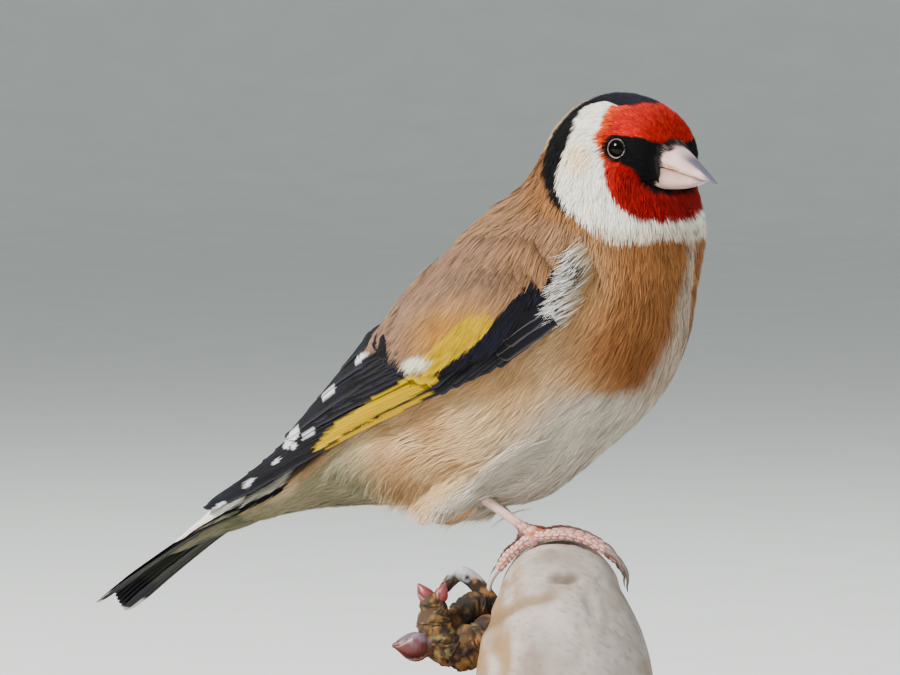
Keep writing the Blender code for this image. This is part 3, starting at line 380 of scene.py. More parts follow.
def strip_object(name, paths, sides, widths, tints, roots, material):
    """A coat piece of thin tapering blades. paths is blades x 4 points, tints the same."""
    count = len(paths)
    shape = np.array((0.75, 1.0, 0.72))
    half = sides[:, None, :] * (widths[:, None, None] * 0.5 * shape[None, :, None])
    points = np.concatenate((paths[:, :3] - half, paths[:, :3] + half, paths[:, 3:]), 1)
    order = np.array(((0, 3, 4), (0, 4, 1), (1, 4, 5), (1, 5, 2), (2, 5, 6)))
    faces = (order[None] + 7 * np.arange(count)[:, None, None]).reshape(-1, 3)
    shades = np.concatenate((tints[:, :3], tints[:, :3], tints[:, 3:]), 1)
    # Each blade has a narrow patch of the bake's map at its root's place.
    lane = (np.arange(count) % 7 - 3) * 0.00042
    along = np.array((-1, -0.3, 0.4, -1, -0.3, 0.4, 1)) * 0.0015
    across = np.array((-1, -1, -0.8, 1, 1, 0.8, 0)) * 0.0002
    bake = np.stack((roots[:, :1] + lane[:, None] + across, roots[:, 1:] + along + 0 * lane[:, None]), 2)
    made = mesh_object(name, points.reshape(-1, 3), faces, shades.reshape(-1, 3),
                       np.clip(bake.reshape(-1, 2), 0.0, 1.0))
    made.data.materials.append(material)
    return made


# ---- Materials ----
def material(name, base=None, rough=0.6, **more):
    made = bpy.data.materials.new(name)
    made.use_nodes = True
    nodes, links = made.node_tree.nodes, made.node_tree.links
    shader = nodes["Principled BSDF"]
    shader.inputs["Roughness"].default_value = rough
    if base is not None:
        shader.inputs["Base Color"].default_value = (*base, 1.0)
    for key, value in more.items():
        shader.inputs[key.replace("_", " ")].default_value = value
    return made, nodes, links, shader


def add_noise(nodes, links, scale, detail=4.0, stretch=None, space="Object"):
    where = nodes.new("ShaderNodeTexCoord")
    made = nodes.new("ShaderNodeTexNoise")
    made.inputs["Scale"].default_value = scale
    made.inputs["Detail"].default_value = detail
    if stretch:
        mapping = nodes.new("ShaderNodeMapping")
        mapping.inputs["Scale"].default_value = stretch
        links.new(where.outputs[space], mapping.inputs["Vector"])
        links.new(mapping.outputs[0], made.inputs["Vector"])
    else:
        links.new(where.outputs[space], made.inputs["Vector"])
    return made


def add_ramp(nodes, links, source, stops):
    ramp = nodes.new("ShaderNodeValToRGB")
    links.new(source, ramp.inputs["Fac"])
    while len(ramp.color_ramp.elements) < len(stops):
        ramp.color_ramp.elements.new(0.5)
    for element, (place, shade) in zip(ramp.color_ramp.elements, stops):
        element.position = place
        element.color = (*shade, 1.0) if np.ndim(shade) else (shade, shade, shade, 1.0)
    return ramp


def add_mix(nodes, links, kind, share, a, b):
    made = nodes.new("ShaderNodeMix")
    made.data_type = "RGBA"
    made.blend_type = kind
    made.inputs[0].default_value = share if isinstance(share, float) else 0.5
    if not isinstance(share, float):
        links.new(share, made.inputs[0])
    for socket, value in ((made.inputs[6], a), (made.inputs[7], b)):
        if isinstance(value, bpy.types.NodeSocket):
            links.new(value, socket)
        else:
            socket.default_value = (*value, 1.0)
    return made.outputs[2]


def add_bump(nodes, links, shader, height, strength, distance):
    bump = nodes.new("ShaderNodeBump")
    bump.inputs["Strength"].default_value = strength
    bump.inputs["Distance"].default_value = distance
    links.new(height, bump.inputs["Height"])
    links.new(bump.outputs["Normal"], shader.inputs["Normal"])


def tinted(name, rough, grain=260.0, spread=0.12, bump=0.0, **more):
    """A material that takes its colour from the mesh, with fine grain over it."""
    made, nodes, links, shader = material(name, None, rough, **more)
    held = nodes.new("ShaderNodeAttribute")
    held.attribute_name = "tint"
    speck = add_noise(nodes, links, grain)
    ramp = add_ramp(nodes, links, speck.outputs["Fac"], ((0.3, 1.0 - spread), (0.7, 1.0)))
    shade = add_mix(nodes, links, "MULTIPLY", 1.0, held.outputs["Color"], ramp.outputs["Color"])
    links.new(shade, shader.inputs["Base Color"])
    if bump:
        add_bump(nodes, links, shader, speck.outputs["Fac"], bump, 0.0002)
    return made


def barbed(name):
    """Flight feathers: satin, with fine barbs running slantwise from the shaft."""
    made, nodes, links, shader = material(
        name, None, 0.6, Sheen_Weight=0.0, Sheen_Roughness=0.4, Sheen_Tint=(0.6, 0.66, 0.9, 1.0),
        Specular_IOR_Level=0.09)
    held = nodes.new("ShaderNodeAttribute")
    held.attribute_name = "tint"
    marks = nodes.new("ShaderNodeUVMap")
    marks.uv_map = "marks"
    wave = nodes.new("ShaderNodeTexWave")
    wave.inputs["Scale"].default_value = 1.0
    wave.inputs["Distortion"].default_value = 0.6
    wave.inputs["Detail"].default_value = 1.0
    links.new(marks.outputs[0], wave.inputs["Vector"])
    ramp = add_ramp(nodes, links, wave.outputs["Fac"], ((0.0, 0.82), (1.0, 1.0)))
    shade = add_mix(nodes, links, "MULTIPLY", 1.0, held.outputs["Color"], ramp.outputs["Color"])
    links.new(shade, shader.inputs["Base Color"])
    add_bump(nodes, links, shader, wave.outputs["Fac"], 0.5, 0.00008)
    return made


COAT = tinted("plumage", 0.8, 900.0, 0.08, Sheen_Weight=0.04, Sheen_Roughness=0.45,
              Specular_IOR_Level=0.12)
VANES = barbed("flight_feathers")

# ---- Skin: one closed form inside the solids by the coat's depth ----
def coat_depth(place, angle):
    round_it = np.degrees(np.abs((angle + np.pi) % (2 * np.pi) - np.pi))
    depth = np.interp(place, (0, 1, 3, 9, 11, 13, 15, 16.4, 17), (0.5, 0.9, 1.2, 1.2, 1.1, 0.8, 0.5, 0.35, 0.2))
    return depth + 0 * round_it


def eye_frame(side):
    """An eye's middle, the way it looks, and two directions across."""
    centre = in_head(EYE_X, side * EYE_SIDE, EYE_Z)
    look = Vector((math.sin(math.radians(15)), side * math.cos(math.radians(15)),
                   math.sin(math.radians(3)))).normalized()
    look = np.array(Matrix.Rotation(-HEAD_TURN, 3, "Z") @ look)
    across = np.cross((0, 0, 1.0), look)
    across /= np.linalg.norm(across)
    return centre, look, across, np.cross(look, across)


def off_eye(points):
    """How far points are from the nearer eye's line of sight, where they are in front of it."""
    nearest = np.full(len(points), 99.0)
    for side in (-1, 1):
        centre, look, across, up = eye_frame(side)
        out = (points - centre) @ look
        away = np.hypot((points - centre) @ across, (points - centre) @ up)
        nearest = np.minimum(nearest, np.where(out > -0.5, away, 99.0))
    return nearest


def wing_swell(x):
    """How thick the fleshy wing is towards its front."""
    return smooth((x + 34.0) / 26.0) * smooth((9.0 - x) / 4.0)


def skin():
    rows, columns = 200, 112
    place = np.repeat(np.linspace(0.0, 17.0, rows), columns)
    angle = np.tile(np.linspace(0, 2 * np.pi, columns, endpoint=False), rows)
    points = on_body(place, angle, -coat_depth(place, angle))
    away = off_eye(points)
    for side in (-1, 1):
        centre, look, across, up = eye_frame(side)
        near = (away < 2.2) & (((points - centre) @ look) > -0.5)
        depth = (points - centre) @ look
        sink = smooth((1.9 - away) / 0.7)
        target = np.minimum(depth, LID_PLACE - 0.15 - 1.2 * sink)
        points[near] += np.outer((target - depth)[near], look)
    ends = [points[:columns].mean(0), points[-columns:].mean(0)]
    count = len(points)
    faces = grid_faces(rows, columns, closed=True)
    k = np.arange(columns)
    caps = np.concatenate((
        np.stack((k, np.full(columns, count), np.full(columns, count), (k + 1) % columns), 1),
        np.stack((count - columns + k, count - columns + (k + 1) % columns,
                  np.full(columns, count + 1), np.full(columns, count + 1)), 1)))
    # The skin takes the plumage's colours at 0.55: painted shade for the depths of the coat, seen between the blades.
    tint = body_tint(place, angle, points) * 0.55
    points = np.vstack((points, ends))
    tint = np.vstack((tint, tint[0], tint[-1]))
    tris = np.concatenate((faces[:, (0, 1, 2)], faces[:, (0, 2, 3)],
                           caps[:columns][:, (0, 1, 3)], caps[columns:][:, (0, 1, 2)]))
    bake = np.stack((np.append(angle / (2 * np.pi), (0.5, 0.5)), np.append(place / 17.0, (0, 1))), 1)
    made = mesh_object("skin", points, tris, tint, bake)
    made.data.materials.append(tinted("skin", 0.8, 500.0, 0.2, 0.3))
    return made


# ---- Coat: tufts of thin blades that follow the lie of the plumage ----
def spread(count, low, high, surface, density):
    """Random places on a surface, by area and by a density that depends on the place."""
    (s0, a0), (s1, a1) = low, high
    rows, columns = 260, 200
    s = s0 + (np.arange(rows) + 0.5) / rows * (s1 - s0)
    a = a0 + (np.arange(columns) + 0.5) / columns * (a1 - a0)
    ss, aa = [g.ravel() for g in np.meshgrid(s, a, indexing="ij")]
    ds, da = (s1 - s0) / rows, (a1 - a0) / columns
    here = surface(ss, aa, 0.0)
    along = surface(ss + ds, aa, 0.0) - here
    round_it = surface(ss, aa + da, 0.0) - here
    weight = np.linalg.norm(np.cross(along, round_it), axis=1) * density(ss, aa, here)
    total = weight.sum()
    picked = rng.choice(len(ss), int(total * count), p=weight / total)
    return (ss[picked] + (rng.random(len(picked)) - 0.5) * ds,
            aa[picked] + (rng.random(len(picked)) - 0.5) * da)


def comb(s, a, surface, blades, length, width, depth, base, tint, keep=None, swerve=None,
         fan=0.10, lift=0.12, gather=0.75, taken=0.62):
    """Blades for tufts at places s, a. Their length, width and depth may differ by tuft."""
    n = len(s)
    s, a = np.repeat(s, blades), np.repeat(a, blades)
    length = np.repeat(np.broadcast_to(length, n), blades) * rng.uniform(0.72, 1.18, n * blades)
    width = np.repeat(np.broadcast_to(width, n), blades) * rng.uniform(0.7, 1.25, n * blades)
    depth = np.repeat(np.broadcast_to(depth, n), blades)
    base = np.repeat(np.broadcast_to(base, n), blades)
    layer = np.repeat(rng.random(n), blades)
    here = surface(s, a, base)
    along = (surface(s + 0.02, a, base) - here) / 0.02
    round_it = (surface(s, a + 0.02, base) - here) / 0.02
    wide = np.maximum(np.linalg.norm(round_it, axis=1), 0.5)
    lane = np.tile(np.linspace(-1, 1, blades), n) + rng.normal(0, 0.35, n * blades)
    drift = np.repeat(rng.normal(0, fan, n), blades) + rng.normal(0, fan * 0.6, n * blades)
    if swerve is not None:
        drift = drift + swerve(s, a, here)
    spacing = width * blades * 0.62
    shares = np.array((0.0, 0.34, 0.7, 1.0))
    rises = np.array((0.0, 0.62, 0.96, 1.0))
    loose = rng.normal(0, lift, n * blades)
    paths, at, reached = [], s.copy(), 0.0
    tip_at = None
    for t, rise in zip(shares, rises):
        if t > reached:
            step = (t - reached) / 2
            for _ in range(2):
                speed = np.linalg.norm(surface(at - 0.04, a, base) - surface(at, a, base), axis=1) / 0.04
                at = at - length * step / np.maximum(speed, 0.05)
            reached = t
        if tip_at is None and t >= taken:
            tip_at = at.copy()
        sideways = lane * spacing * (1 - (1 - gather) * t) + drift * length * t
        grow = base + depth * (0.35 + 0.65 * layer) * rise + loose * t * t
        paths.append(surface(at, a + sideways / wide, grow))
    paths = np.stack(paths, 1)
    run = paths[:, 3] - paths[:, 1]
    normal = np.cross(round_it, along)
    centre = surface(s, a, base + 1.0) - here
    normal *= np.sign((normal * centre).sum(1))[:, None]
    normal /= np.linalg.norm(normal, axis=1)[:, None] + 1e-9
    sides = np.cross(normal, run)
    sides /= np.linalg.norm(sides, axis=1)[:, None] + 1e-9
    roll = rng.normal(0, 0.32, n * blades)
    sides = sides * np.cos(roll)[:, None] + normal * np.sin(roll)[:, None]
    middle = paths[:, 1] * 0.4 + paths[:, 2] * 0.6
    shade = tint(tip_at, a + (lane * spacing * 0.8 + drift * length * 0.7) / wide, middle)
    pale = smooth((shade.min(1) - 0.35) / 0.4)
    spread_tone = 0.10 * (1 - 0.72 * pale)
    tone = 1 + np.repeat(rng.normal(0, 0.8, n), blades) * spread_tone
    tone += rng.normal(0, 1.0, n * blades) * spread_tone
    tone *= 1.0 + 0.10 * noise(middle, 2.2, 21) * (1 - 0.6 * pale)
    # Each blade darkens towards its root, less for pale plumage, and is a touch lighter at its tip: painted shade deep
    # in the coat and painted light on the tips.
    root = 0.40 + 0.42 * pale
    painted_root_shade = np.stack((root, 0.5 + 0.5 * root + 0.08, 1 + 0 * root, 1.05 + 0 * root), 1)
    tints = shade[:, None, :] * (tone[:, None] * painted_root_shade)[:, :, None]
    flags = np.ones(n * blades, bool) if keep is None else keep(middle)
    return paths, sides, width, np.clip(tints, 0.002, 1.0), (s, a), flags


def coat_piece(name, result, u_range, v_range):
    """Makes a coat's objects, each under the limit of its triangles."""
    paths, sides, widths, tints, (s, a), flags = result
    u = (((a + np.pi) % (2 * np.pi)) / (2 * np.pi) - u_range[0]) / (u_range[1] - u_range[0])
    v = (s - v_range[0]) / (v_range[1] - v_range[0])
    kept = np.nonzero(flags)[0]
    kept = kept[np.argsort(s[kept] + 0.0, kind="stable")]
    most = 38000
    parts = max(1, math.ceil(len(kept) / most))
    made = []
    for k, pick in enumerate(np.array_split(kept, parts)):
        roots = np.stack((0.01 + 0.98 * u[pick], 0.01 + 0.98 * v[pick]), 1)
        made.append(strip_object(
            "%s_%d" % (name, k + 1), paths[pick], sides[pick], widths[pick], tints[pick], roots, COAT))
    return made


WING_EDGE = ((7.6, 43.6), (4.2, 40.6), (-4.0, 36.6), (-12.4, 32.8), (-23.0, 28.2), (-33.8, 23.0),
             (-43.0, 17.6), (-52.0, 13.0), (-58.0, 12.6), (-53.0, 18.0), (-42.5, 24.4), (-34.0, 33.0),
             (-26.5, 41.0), (-18.5, 48.0), (-8.0, 53.0), (2.0, 52.5), (6.8, 47.5))


def under_wing(points):
    """Whether body points lie well under a closed wing."""
    flat = points[:, (0, 2)]
    return inside(flat, WING_EDGE) & (np.abs(points[:, 1]) > 1.0)


def body_density(s, a, points):
    d = np.interp(s, (0, 8, 9.5, 11, 13, 15, 17), (3.3, 3.3, 3.8, 6.0, 8.5, 11.0, 13.0))
    hidden = under_wing(points + (0, 0, 0)) & under_wing(points + np.array((1.2, 0, -0.9)))
    hidden &= under_wing(points + np.array((0.5, 0, 1.2)))
    return np.where(hidden, 0.0, d) * (off_eye(points) > 1.62)


def body_swerve(s, a, points):
    """Plumage leans down off the back and flank and is a little wavy everywhere."""
    round_it = (a + np.pi) % (2 * np.pi) - np.pi
    side = np.sign(round_it)
    flank = np.exp(-((np.abs(round_it) - 1.5) / 0.6) ** 2) * smooth((10.0 - s) / 2.0)
    return 0.16 * noise(points, 6.0, 31) + side * 0.12 * flank


def body_coat():
    s, a = spread(1.0, (0.02, -np.pi), (16.98, np.pi), on_body, body_density)
    base = -coat_depth(s, a)
    depth = -base
    length = np.interp(s, (0, 3, 9, 10.5, 12, 14, 15.5, 17), (4.6, 6.0, 5.0, 3.0, 2.2, 1.4, 1.15, 0.8))
    length = length * (0.42 + 0.58 * smooth((off_eye(on_body(s, a)) - 1.7) / 1.6))
    width = np.interp(s, (0, 9, 11, 14, 17), (0.15, 0.135, 0.10, 0.085, 0.075))
    # The collar is fuller, and the cheeks and throat stand out a little.
    depth = depth + 0.5 * np.exp(-((s - 11.3) / 0.8) ** 2) * smooth((np.abs(a) - 1.7) / 0.8)
    keep = lambda p: off_eye(p) > 1.62
    result = comb(s, a, on_body, 7, length, width, depth, base, body_tint, keep, body_swerve)
    return coat_piece("coat_body", result, (0, 1), (0, 17))


def plume_roots():
    """Each flank's form with the top of its leg, for laying plumes over both."""
    place = np.repeat(np.linspace(0.0, 9.0, 90), 96)
    angle = np.tile(np.linspace(0, 2 * np.pi, 96, endpoint=False), 90)
    points, faces = [on_body(place, angle)], [grid_faces(90, 96, closed=True)]
    for _, _, _, heel, fluff in FEET:
        start = sum(len(p) for p in points)
        place = np.repeat(np.linspace(0.0, 1.0, 30), 48)
        angle = np.tile(np.linspace(0, 2 * np.pi, 48, endpoint=False), 30)
        points.append(thigh_surface(heel, fluff)(place, angle))
        faces.append(grid_faces(30, 48, start, closed=True))
    return BVHTree.FromPolygons([Vector(p) for p in np.vstack(points)], np.vstack(faces).tolist())


PLUME_ENDS = ((-36.0, 17.6), (-31.0, 14.8), (-26.0, 12.8), (-20.4, 11.0), (-17.0, 10.6), (-13.2, 13.2),
              (-10.0, 15.4))


def flank_coat():
    """The loose plumes of each flank, which hang over the top of the leg."""
    tree, made = plume_roots(), []
    for name, side in (("right", -1), ("left", 1)):
        count, each = 1500, 6
        paths, tints, roots, widths = [], [], [], []
        for _ in range(count):
            share = rng.random()
            end = curve_at(PLUME_ENDS, share) + rng.normal(0, 0.35, 2)
            back = rng.random() ** 0.8
            end = end + np.array((0.75, 0.66)) * 9.0 * back
            long = rng.uniform(5.5, 8.5)
            slope = math.radians(rng.uniform(30, 44) + 12 * (1 - back))
            lay = rng.uniform(0.5, 1.1) * (1.0 - 0.35 * back)
            for _ in range(each):
                tip = end + rng.normal(0, 0.3, 2)
                reach, turn, path, last = long * rng.uniform(0.8, 1.1), slope + rng.normal(0, 0.06), [], None
                for t in (0.0, 0.34, 0.7, 1.0):
                    bend = turn + 0.35 * (t - 0.5)
                    x = tip[0] + reach * (1 - t) * math.cos(bend)
                    z = tip[1] + reach * (1 - t) * math.sin(bend)
                    hit = tree.ray_cast(Vector((x, side * 40.0, z)), Vector((0, -side, 0)))[0]
                    y = hit.y * side if hit is not None else (last if last is not None else 9.0) - 0.5
                    y = y if last is None else max(y, last - 1.8)
                    last = y
                    path.append((x, side * (y - 0.25 + (lay + 0.25) * min(1.0, t * 2.2)), z))
                paths.append(path)
                root = np.array(path[0])
                tone = smooth(0.5 + 0.7 * noise(root[None], 3.0, 38)[0])
                shade = FLANK * (1 - tone) + FLANK_PALE * tone
                at = seen(np.array(path[2:3]))[0]
                white = float(smooth((at[0] * 0.875 + at[1] - 878) / 22))
                # Towards the vent the plumes take the vent's colour, which carries painted shade.
                vent = float(smooth((-23.0 - path[3][0]) / 9.0)) * (1 - back) ** 0.5
                shade = shade * (1 - vent) + VENT_SHADED * vent * 1.1
                shade = (shade * (1 - white) + BELLY * white) * rng.normal(1.0, 0.1)
                tints.append(shade)
                roots.append((0.5 + root[1] / 40.0, (root[0] + 45.0) / 60.0))
                widths.append(rng.uniform(0.08, 0.14))
        paths = np.array(paths)
        run = paths[:, 3] - paths[:, 1]
        sides = np.cross(np.array((0.0, side, 0.25)), run)
        sides /= np.linalg.norm(sides, axis=1)[:, None]
        sides[:, 1] += rng.normal(0, 0.3, len(sides))
        # The plumes darken a little towards their roots and lighten at their tips: painted shade and painted light.
        shades = np.array(tints)[:, None, :] * np.array((0.88, 0.97, 1.0, 1.05))[None, :, None]
        made.append(strip_object("coat_flank_" + name, paths, sides, np.array(widths),
                                 np.clip(shades, 0.002, 1.0), np.clip(np.array(roots), 0.01, 0.99), COAT))
    return made


WING_TOP = ((-26.5, 41.0), (-18.5, 48.0), (-8.0, 53.0), (2.0, 52.5), (6.8, 47.5))


def from_edge(flat, border):
    """How far flat points are from a border's segments."""
    least = np.full(len(flat), 99.0)
    for start, end in zip(np.array(border[:-1]), np.array(border[1:])):
        run = end - start
        t = np.clip((flat - start) @ run / (run @ run), 0, 1)
        least = np.minimum(least, np.linalg.norm(flat - start - t[:, None] * run, axis=1))
    return least


def wing_coat():
    """The soft feathers that cover the shoulder and the upper half of each closed wing."""
    edge = [(x - 1.0, z + 2.0) if k > 9 else (x, z) for k, (x, z) in enumerate(WING_EDGE)]

    def density(s, a, points):
        lead = points + np.array((-2.2, 0, -2.2))
        at, ahead = seen(points), seen(lead)
        held = inside(at, SOFT_WING) | inside(ahead, SOFT_WING) | inside(at, LESSER)
        return 5.6 * held * inside(points[:, (0, 2)] + np.array((-0.5, -0.5)), edge)

    made = []
    for name, low, high in (("right", -2.6, -0.02), ("left", 0.02, 2.6)):
        s, a = spread(1.0, (3.0, low), (12.6, high), on_carrier, density)
        here = on_carrier(s, a, 0.0)
        swell = wing_swell(here[:, 0])
        top = 0.7 + 1.5 * swell
        rim = inside(here[:, (0, 2)] + np.array((1.5, 2.0)), edge)
        top = np.where(rim, top, 0.45 * top)
        round_it = np.degrees(np.abs(a))
        ridge = np.interp(round_it, (0, 22, 40, 58, 74), (0.2, 0.2, 0.9, 1.6, 0.0))
        top *= np.interp(round_it, (15, 50), (0.55, 1.0))
        top *= 0.3 + 0.7 * smooth(from_edge(here[:, (0, 2)], WING_TOP) / 6.5)
        top = np.maximum(top, ridge * smooth((-18.0 - here[:, 0]) / 4.0))
        keep = lambda p: inside(seen(p), SOFT_WING) | inside(seen(p), LESSER)
        lean = lambda s, a, p: np.sign(a) * 0.42 + 0.14 * noise(p, 5.0, 33)
        tint = lambda s, a, p: soft_wing_tint(p)
        dark = inside(seen(here), LESSER)
        result = comb(s, a, on_carrier, 8, np.where(dark, 2.4, 3.7), 0.105, 0.7, top - 0.35, tint,
                      keep, lean, 0.07)
        made += coat_piece("coat_wing_" + name, result, (0, 1), (3, 12.6))
    return made


def streaks():
    """White breast-side plumes that lie over the front of each closed wing."""
    made = []
    for name, side in (("right", -1), ("left", 1)):
        count = 400
        share = 0.86 * rng.random(count) ** 0.8
        s = 9.8 - 1.75 * share + rng.normal(0, 0.05, count)
        a = side * np.radians(97.0 + 5.0 * share + rng.normal(0, 2.2, count))
        pale = rng.random(count * 7) > 0.36 + 0.25 * np.repeat(1 - share, 7)
        lean = lambda s, a, p: -np.sign(a) * (0.38 + 0.16 * noise(p, 3.0, 35))
        tint = lambda s, a, p: np.where(pale[:, None], colour(246, 242, 238), BLACK)
        result = comb(s, a, on_body, 7, 2.6 + 1.6 * np.sin(np.pi * (0.1 + 0.85 * share)), 0.08, 3.4,
                      -0.5, tint, None, lean, 0.1, 0.15, 0.5)
        # Their roots take the colour of the breast's side, so that the patch has no hard front.
        fade = (rng.uniform(0.75, 1.0, count * 7), rng.uniform(0.25, 0.8, count * 7))
        for row, share_of in enumerate(fade):
            result[3][:, row] = mix(result[3][:, row], FLANK_PALE * 0.9, share_of)
        made += coat_piece("coat_streaks_" + name, result, (0, 1), (0, 17))
    return made


# ---- Flight feathers ----
class Lie:
    """The surface that the closed wings lie on, for placing feathers by their elevation."""

    def __init__(self):
        rows, columns = 90, 72
        place = np.repeat(np.linspace(0, len(CARRIER) - 1.0, rows), columns)
        angle = np.tile(np.linspace(0, 2 * np.pi, columns, endpoint=False), rows)
        points = on_carrier(place, angle)
        faces = grid_faces(rows, columns, closed=True)
        self.tree = BVHTree.FromPolygons([Vector(p) for p in points], faces.tolist())

    def at(self, side, x, z, lift):
        over, hit = 0.0, None
        while hit is None and over < 12.0:
            hit, normal, _, _ = self.tree.ray_cast(
                Vector((x, side * 60.0, z - over)), Vector((0, -side, 0)))
            if hit is None:
                over += 0.12
        if normal.dot(Vector((0, side, 0.4))) < 0:
            normal = -normal
        reach = max(hit.y * side, 0.25)
        hit.y = side * (0.25 + (reach - 0.25) * math.exp(-over / 1.6))
        place = hit + normal * lift
        place.y = side * max(place.y * side, 0.15)
        return np.array(place)


def curve_at(points, share):
    points = np.asarray(points, float)
    return np.array([np.interp(share * (len(points) - 1), np.arange(len(points)), points[:, k])
                     for k in range(points.shape[1])])


# name, count, roots, tips, widths, lift of the lower edge and of the tucked one, bow, shaft's place
TIERS = (
    ("primary", 9, ((-4.0, 36.2), (-14.0, 33.6), (-26.0, 31.4)),
     ((-54.6, 14.0), (-58.4, 12.4), (-57.6, 13.0), (-55.6, 14.3), (-53.2, 15.9), (-50.6, 17.8),
      (-48.0, 19.7), (-45.4, 21.6), (-42.8, 23.6)), 3.0, 4.0, 0.95, 0.6, 0.7, -0.25),
    ("secondary", 6, ((-14.5, 36.0), (-21.5, 38.6)),
     ((-42.2, 24.0), (-41.6, 24.9), (-40.8, 25.9), (-39.9, 27.0), (-38.9, 28.1), (-37.8, 29.2)),
     4.2, 4.8, 1.3, 0.9, 0.6, -0.15),
    ("tertial", 3, ((-21.0, 37.4), (-21.0, 40.0), (-22.6, 42.0)),
     ((-44.0, 24.5), (-38.6, 30.6), (-33.6, 35.4)), 6.0, 5.2, 1.45, 0.8, 0.5, 0.0),
    ("primary_covert", 5, ((3.4, 41.2), (-3.6, 39.0)),
     ((-3.0, 36.8), (-12.8, 32.7)), 3.2, 4.0, 1.75, 1.35, 0.3, -0.15),
    ("greater_covert", 7, ((-5.0, 39.8), (-14.5, 43.6)),
     ((-13.8, 33.6), (-17.1, 34.2), (-19.8, 35.2), (-22.0, 36.6), (-24.0, 38.2)), 4.0, 4.2, 1.95, 1.5,
     0.3, -0.1),
    ("alula", 2, ((6.4, 43.4), (4.6, 43.8)), ((-2.0, 38.0), (-1.0, 40.0)), 3.4, 3.2, 2.45, 2.0, 0.2,
     -0.15),
)


# How much of a tier's feathers, from the root, lies below the soft feathers: first and last.
SUNK = {"tertial": (0.1, 0.22), "greater_covert": (0.12, 0.8)}


def vane_points(lie, side, root, tip, width, lifts, bow, shaft, sunk=0.0, rows=56, columns=9):
    """One feather as a grid of points, tucked along its upper edge and free along its lower.

    With sunk above 0, that share of it from the root lies below the soft feathers."""
    root, tip = np.asarray(root, float), np.asarray(tip, float)
    run = tip - root
    up = np.array((run[1], -run[0])) / np.linalg.norm(run)
    up *= 1 if up[1] > 0 else -1
    points, marks = [], []
    long = np.linalg.norm(run)
    for i in range(rows):
        t = (i / (rows - 1)) ** 0.85
        end = max(0.0, (t - 0.84) / 0.16)
        full = (0.72 + 0.28 * smooth(t / 0.35)) * math.sqrt(max(0.02, 1 - end**2.4))
        middle = root + run * t + up * bow * math.sin(math.pi * t)
        for k in range(columns):
            v = -1 + 2 * k / (columns - 1)
            x, z = middle + up * (v * 0.5 * full * width)
            lift = lifts[0] + (lifts[1] - lifts[0]) * (v + 1) / 2
            lift += 0.14 * (1 - abs(v - shaft)) ** 2 - 0.16 * max(0.0, -v - 0.75)
            lift -= (lift + 0.7) * (1 - smooth((t - sunk) / 0.2)) * (sunk > 0)
            points.append((x, z, lift))
            marks.append((t * long * 3.2 + abs(v - shaft) * width * 2.4, v))
    placed = np.array([lie.at(side, *p) for p in points])
    return placed, np.array(marks)


def shaft_points(grid, rows, columns, shaft):
    """A feather's shaft, as a slim raised strip along its vane."""
    k = (shaft + 1) / 2 * (columns - 1)
    low = int(k)
    centre = grid[:, low] * (1 - k + low) + grid[:, min(low + 1, columns - 1)] * (k - low)
    across = grid[:, -1] - grid[:, 0]
    across /= np.linalg.norm(across, axis=1)[:, None] + 1e-9
    along = np.gradient(centre, axis=0)
    normal = np.cross(along, across)
    normal /= np.linalg.norm(normal, axis=1)[:, None] + 1e-9
    return centre, across, normal


def wing_vanes(lie):
    made = []
    rows, columns = 56, 9
    for side, name in ((-1, "right"), (1, "left")):
        points, faces, tints, marks, bake = [], [], [], [], []
        cells, count = 8, 0
        for tier, number, roots, tips, first, last, low, high, bow, shaft in TIERS:
            for k in range(number):
                share = k / (number - 1)
                grid, mark = vane_points(
                    lie, side, curve_at(roots, share), curve_at(tips, share),
                    first + (last - first) * share, (low, high), bow, shaft,
                    float(np.interp(share, (0, 1), SUNK[tier])) if tier in SUNK else 0.0)
                start = sum(len(p) for p in points)
                tint = vane_tint(grid)
                v, t = mark[:, 1], np.repeat((np.arange(rows) / (rows - 1)) ** 0.85, columns)
                rim = np.maximum(smooth((-0.86 - v) / 0.1), smooth((t - 0.985) / 0.01))
                pale_rim = colour(122, 112, 108) if tier == "alula" else colour(62, 60, 68)
                dark = (tint.max(1) < 0.1)
                tint = mix(tint, pale_rim, rim * dark * (0.4 if tier == "alula" else 0.6))
                square = grid.reshape(rows, columns, 3)
                centre, across, normal = shaft_points(square, rows, columns, shaft)
                normal *= np.sign(normal[:, 1:2] * side + 1e-9)
                thick = np.linspace(0.13, 0.04, rows)[:, None]
                rib = np.stack((centre - across * thick, centre + normal * thick * 1.3,
                                centre + across * thick), 1).reshape(-1, 3)
                u, v = np.meshgrid(np.linspace(0, 1, columns), np.linspace(0, 1, rows))
                cell = np.array((count % cells, count // cells)) / cells
                spot = np.stack((u.ravel(), v.ravel()), 1) * 0.105 + cell + 0.01
                points += [grid, rib]
                faces += [grid_faces(rows, columns, start),
                          grid_faces(rows, 3, start + len(grid))]
                rib_tint = vane_tint(rib)
                rib_tint = rib_tint * 0.9 + (rib_tint.max(1, keepdims=True) < 0.1) * (
                    0.07 if tier == "alula" else 0.018)
                tints += [tint, rib_tint]
                marks += [mark, np.repeat(mark[::columns], 3, 0)]
                bake += [spot, np.repeat(spot[::columns], 3, 0) + np.tile(
                    ((0, 0), (0.002, 0), (0.004, 0)), (rows, 1))]
                count += 1
        wing = mesh_object("wing_feathers_" + name, np.vstack(points), np.vstack(faces),
                           np.vstack(tints), np.vstack(bake), np.vstack(marks))
        wing.data.materials.append(VANES)
        made.append(wing)
    return made


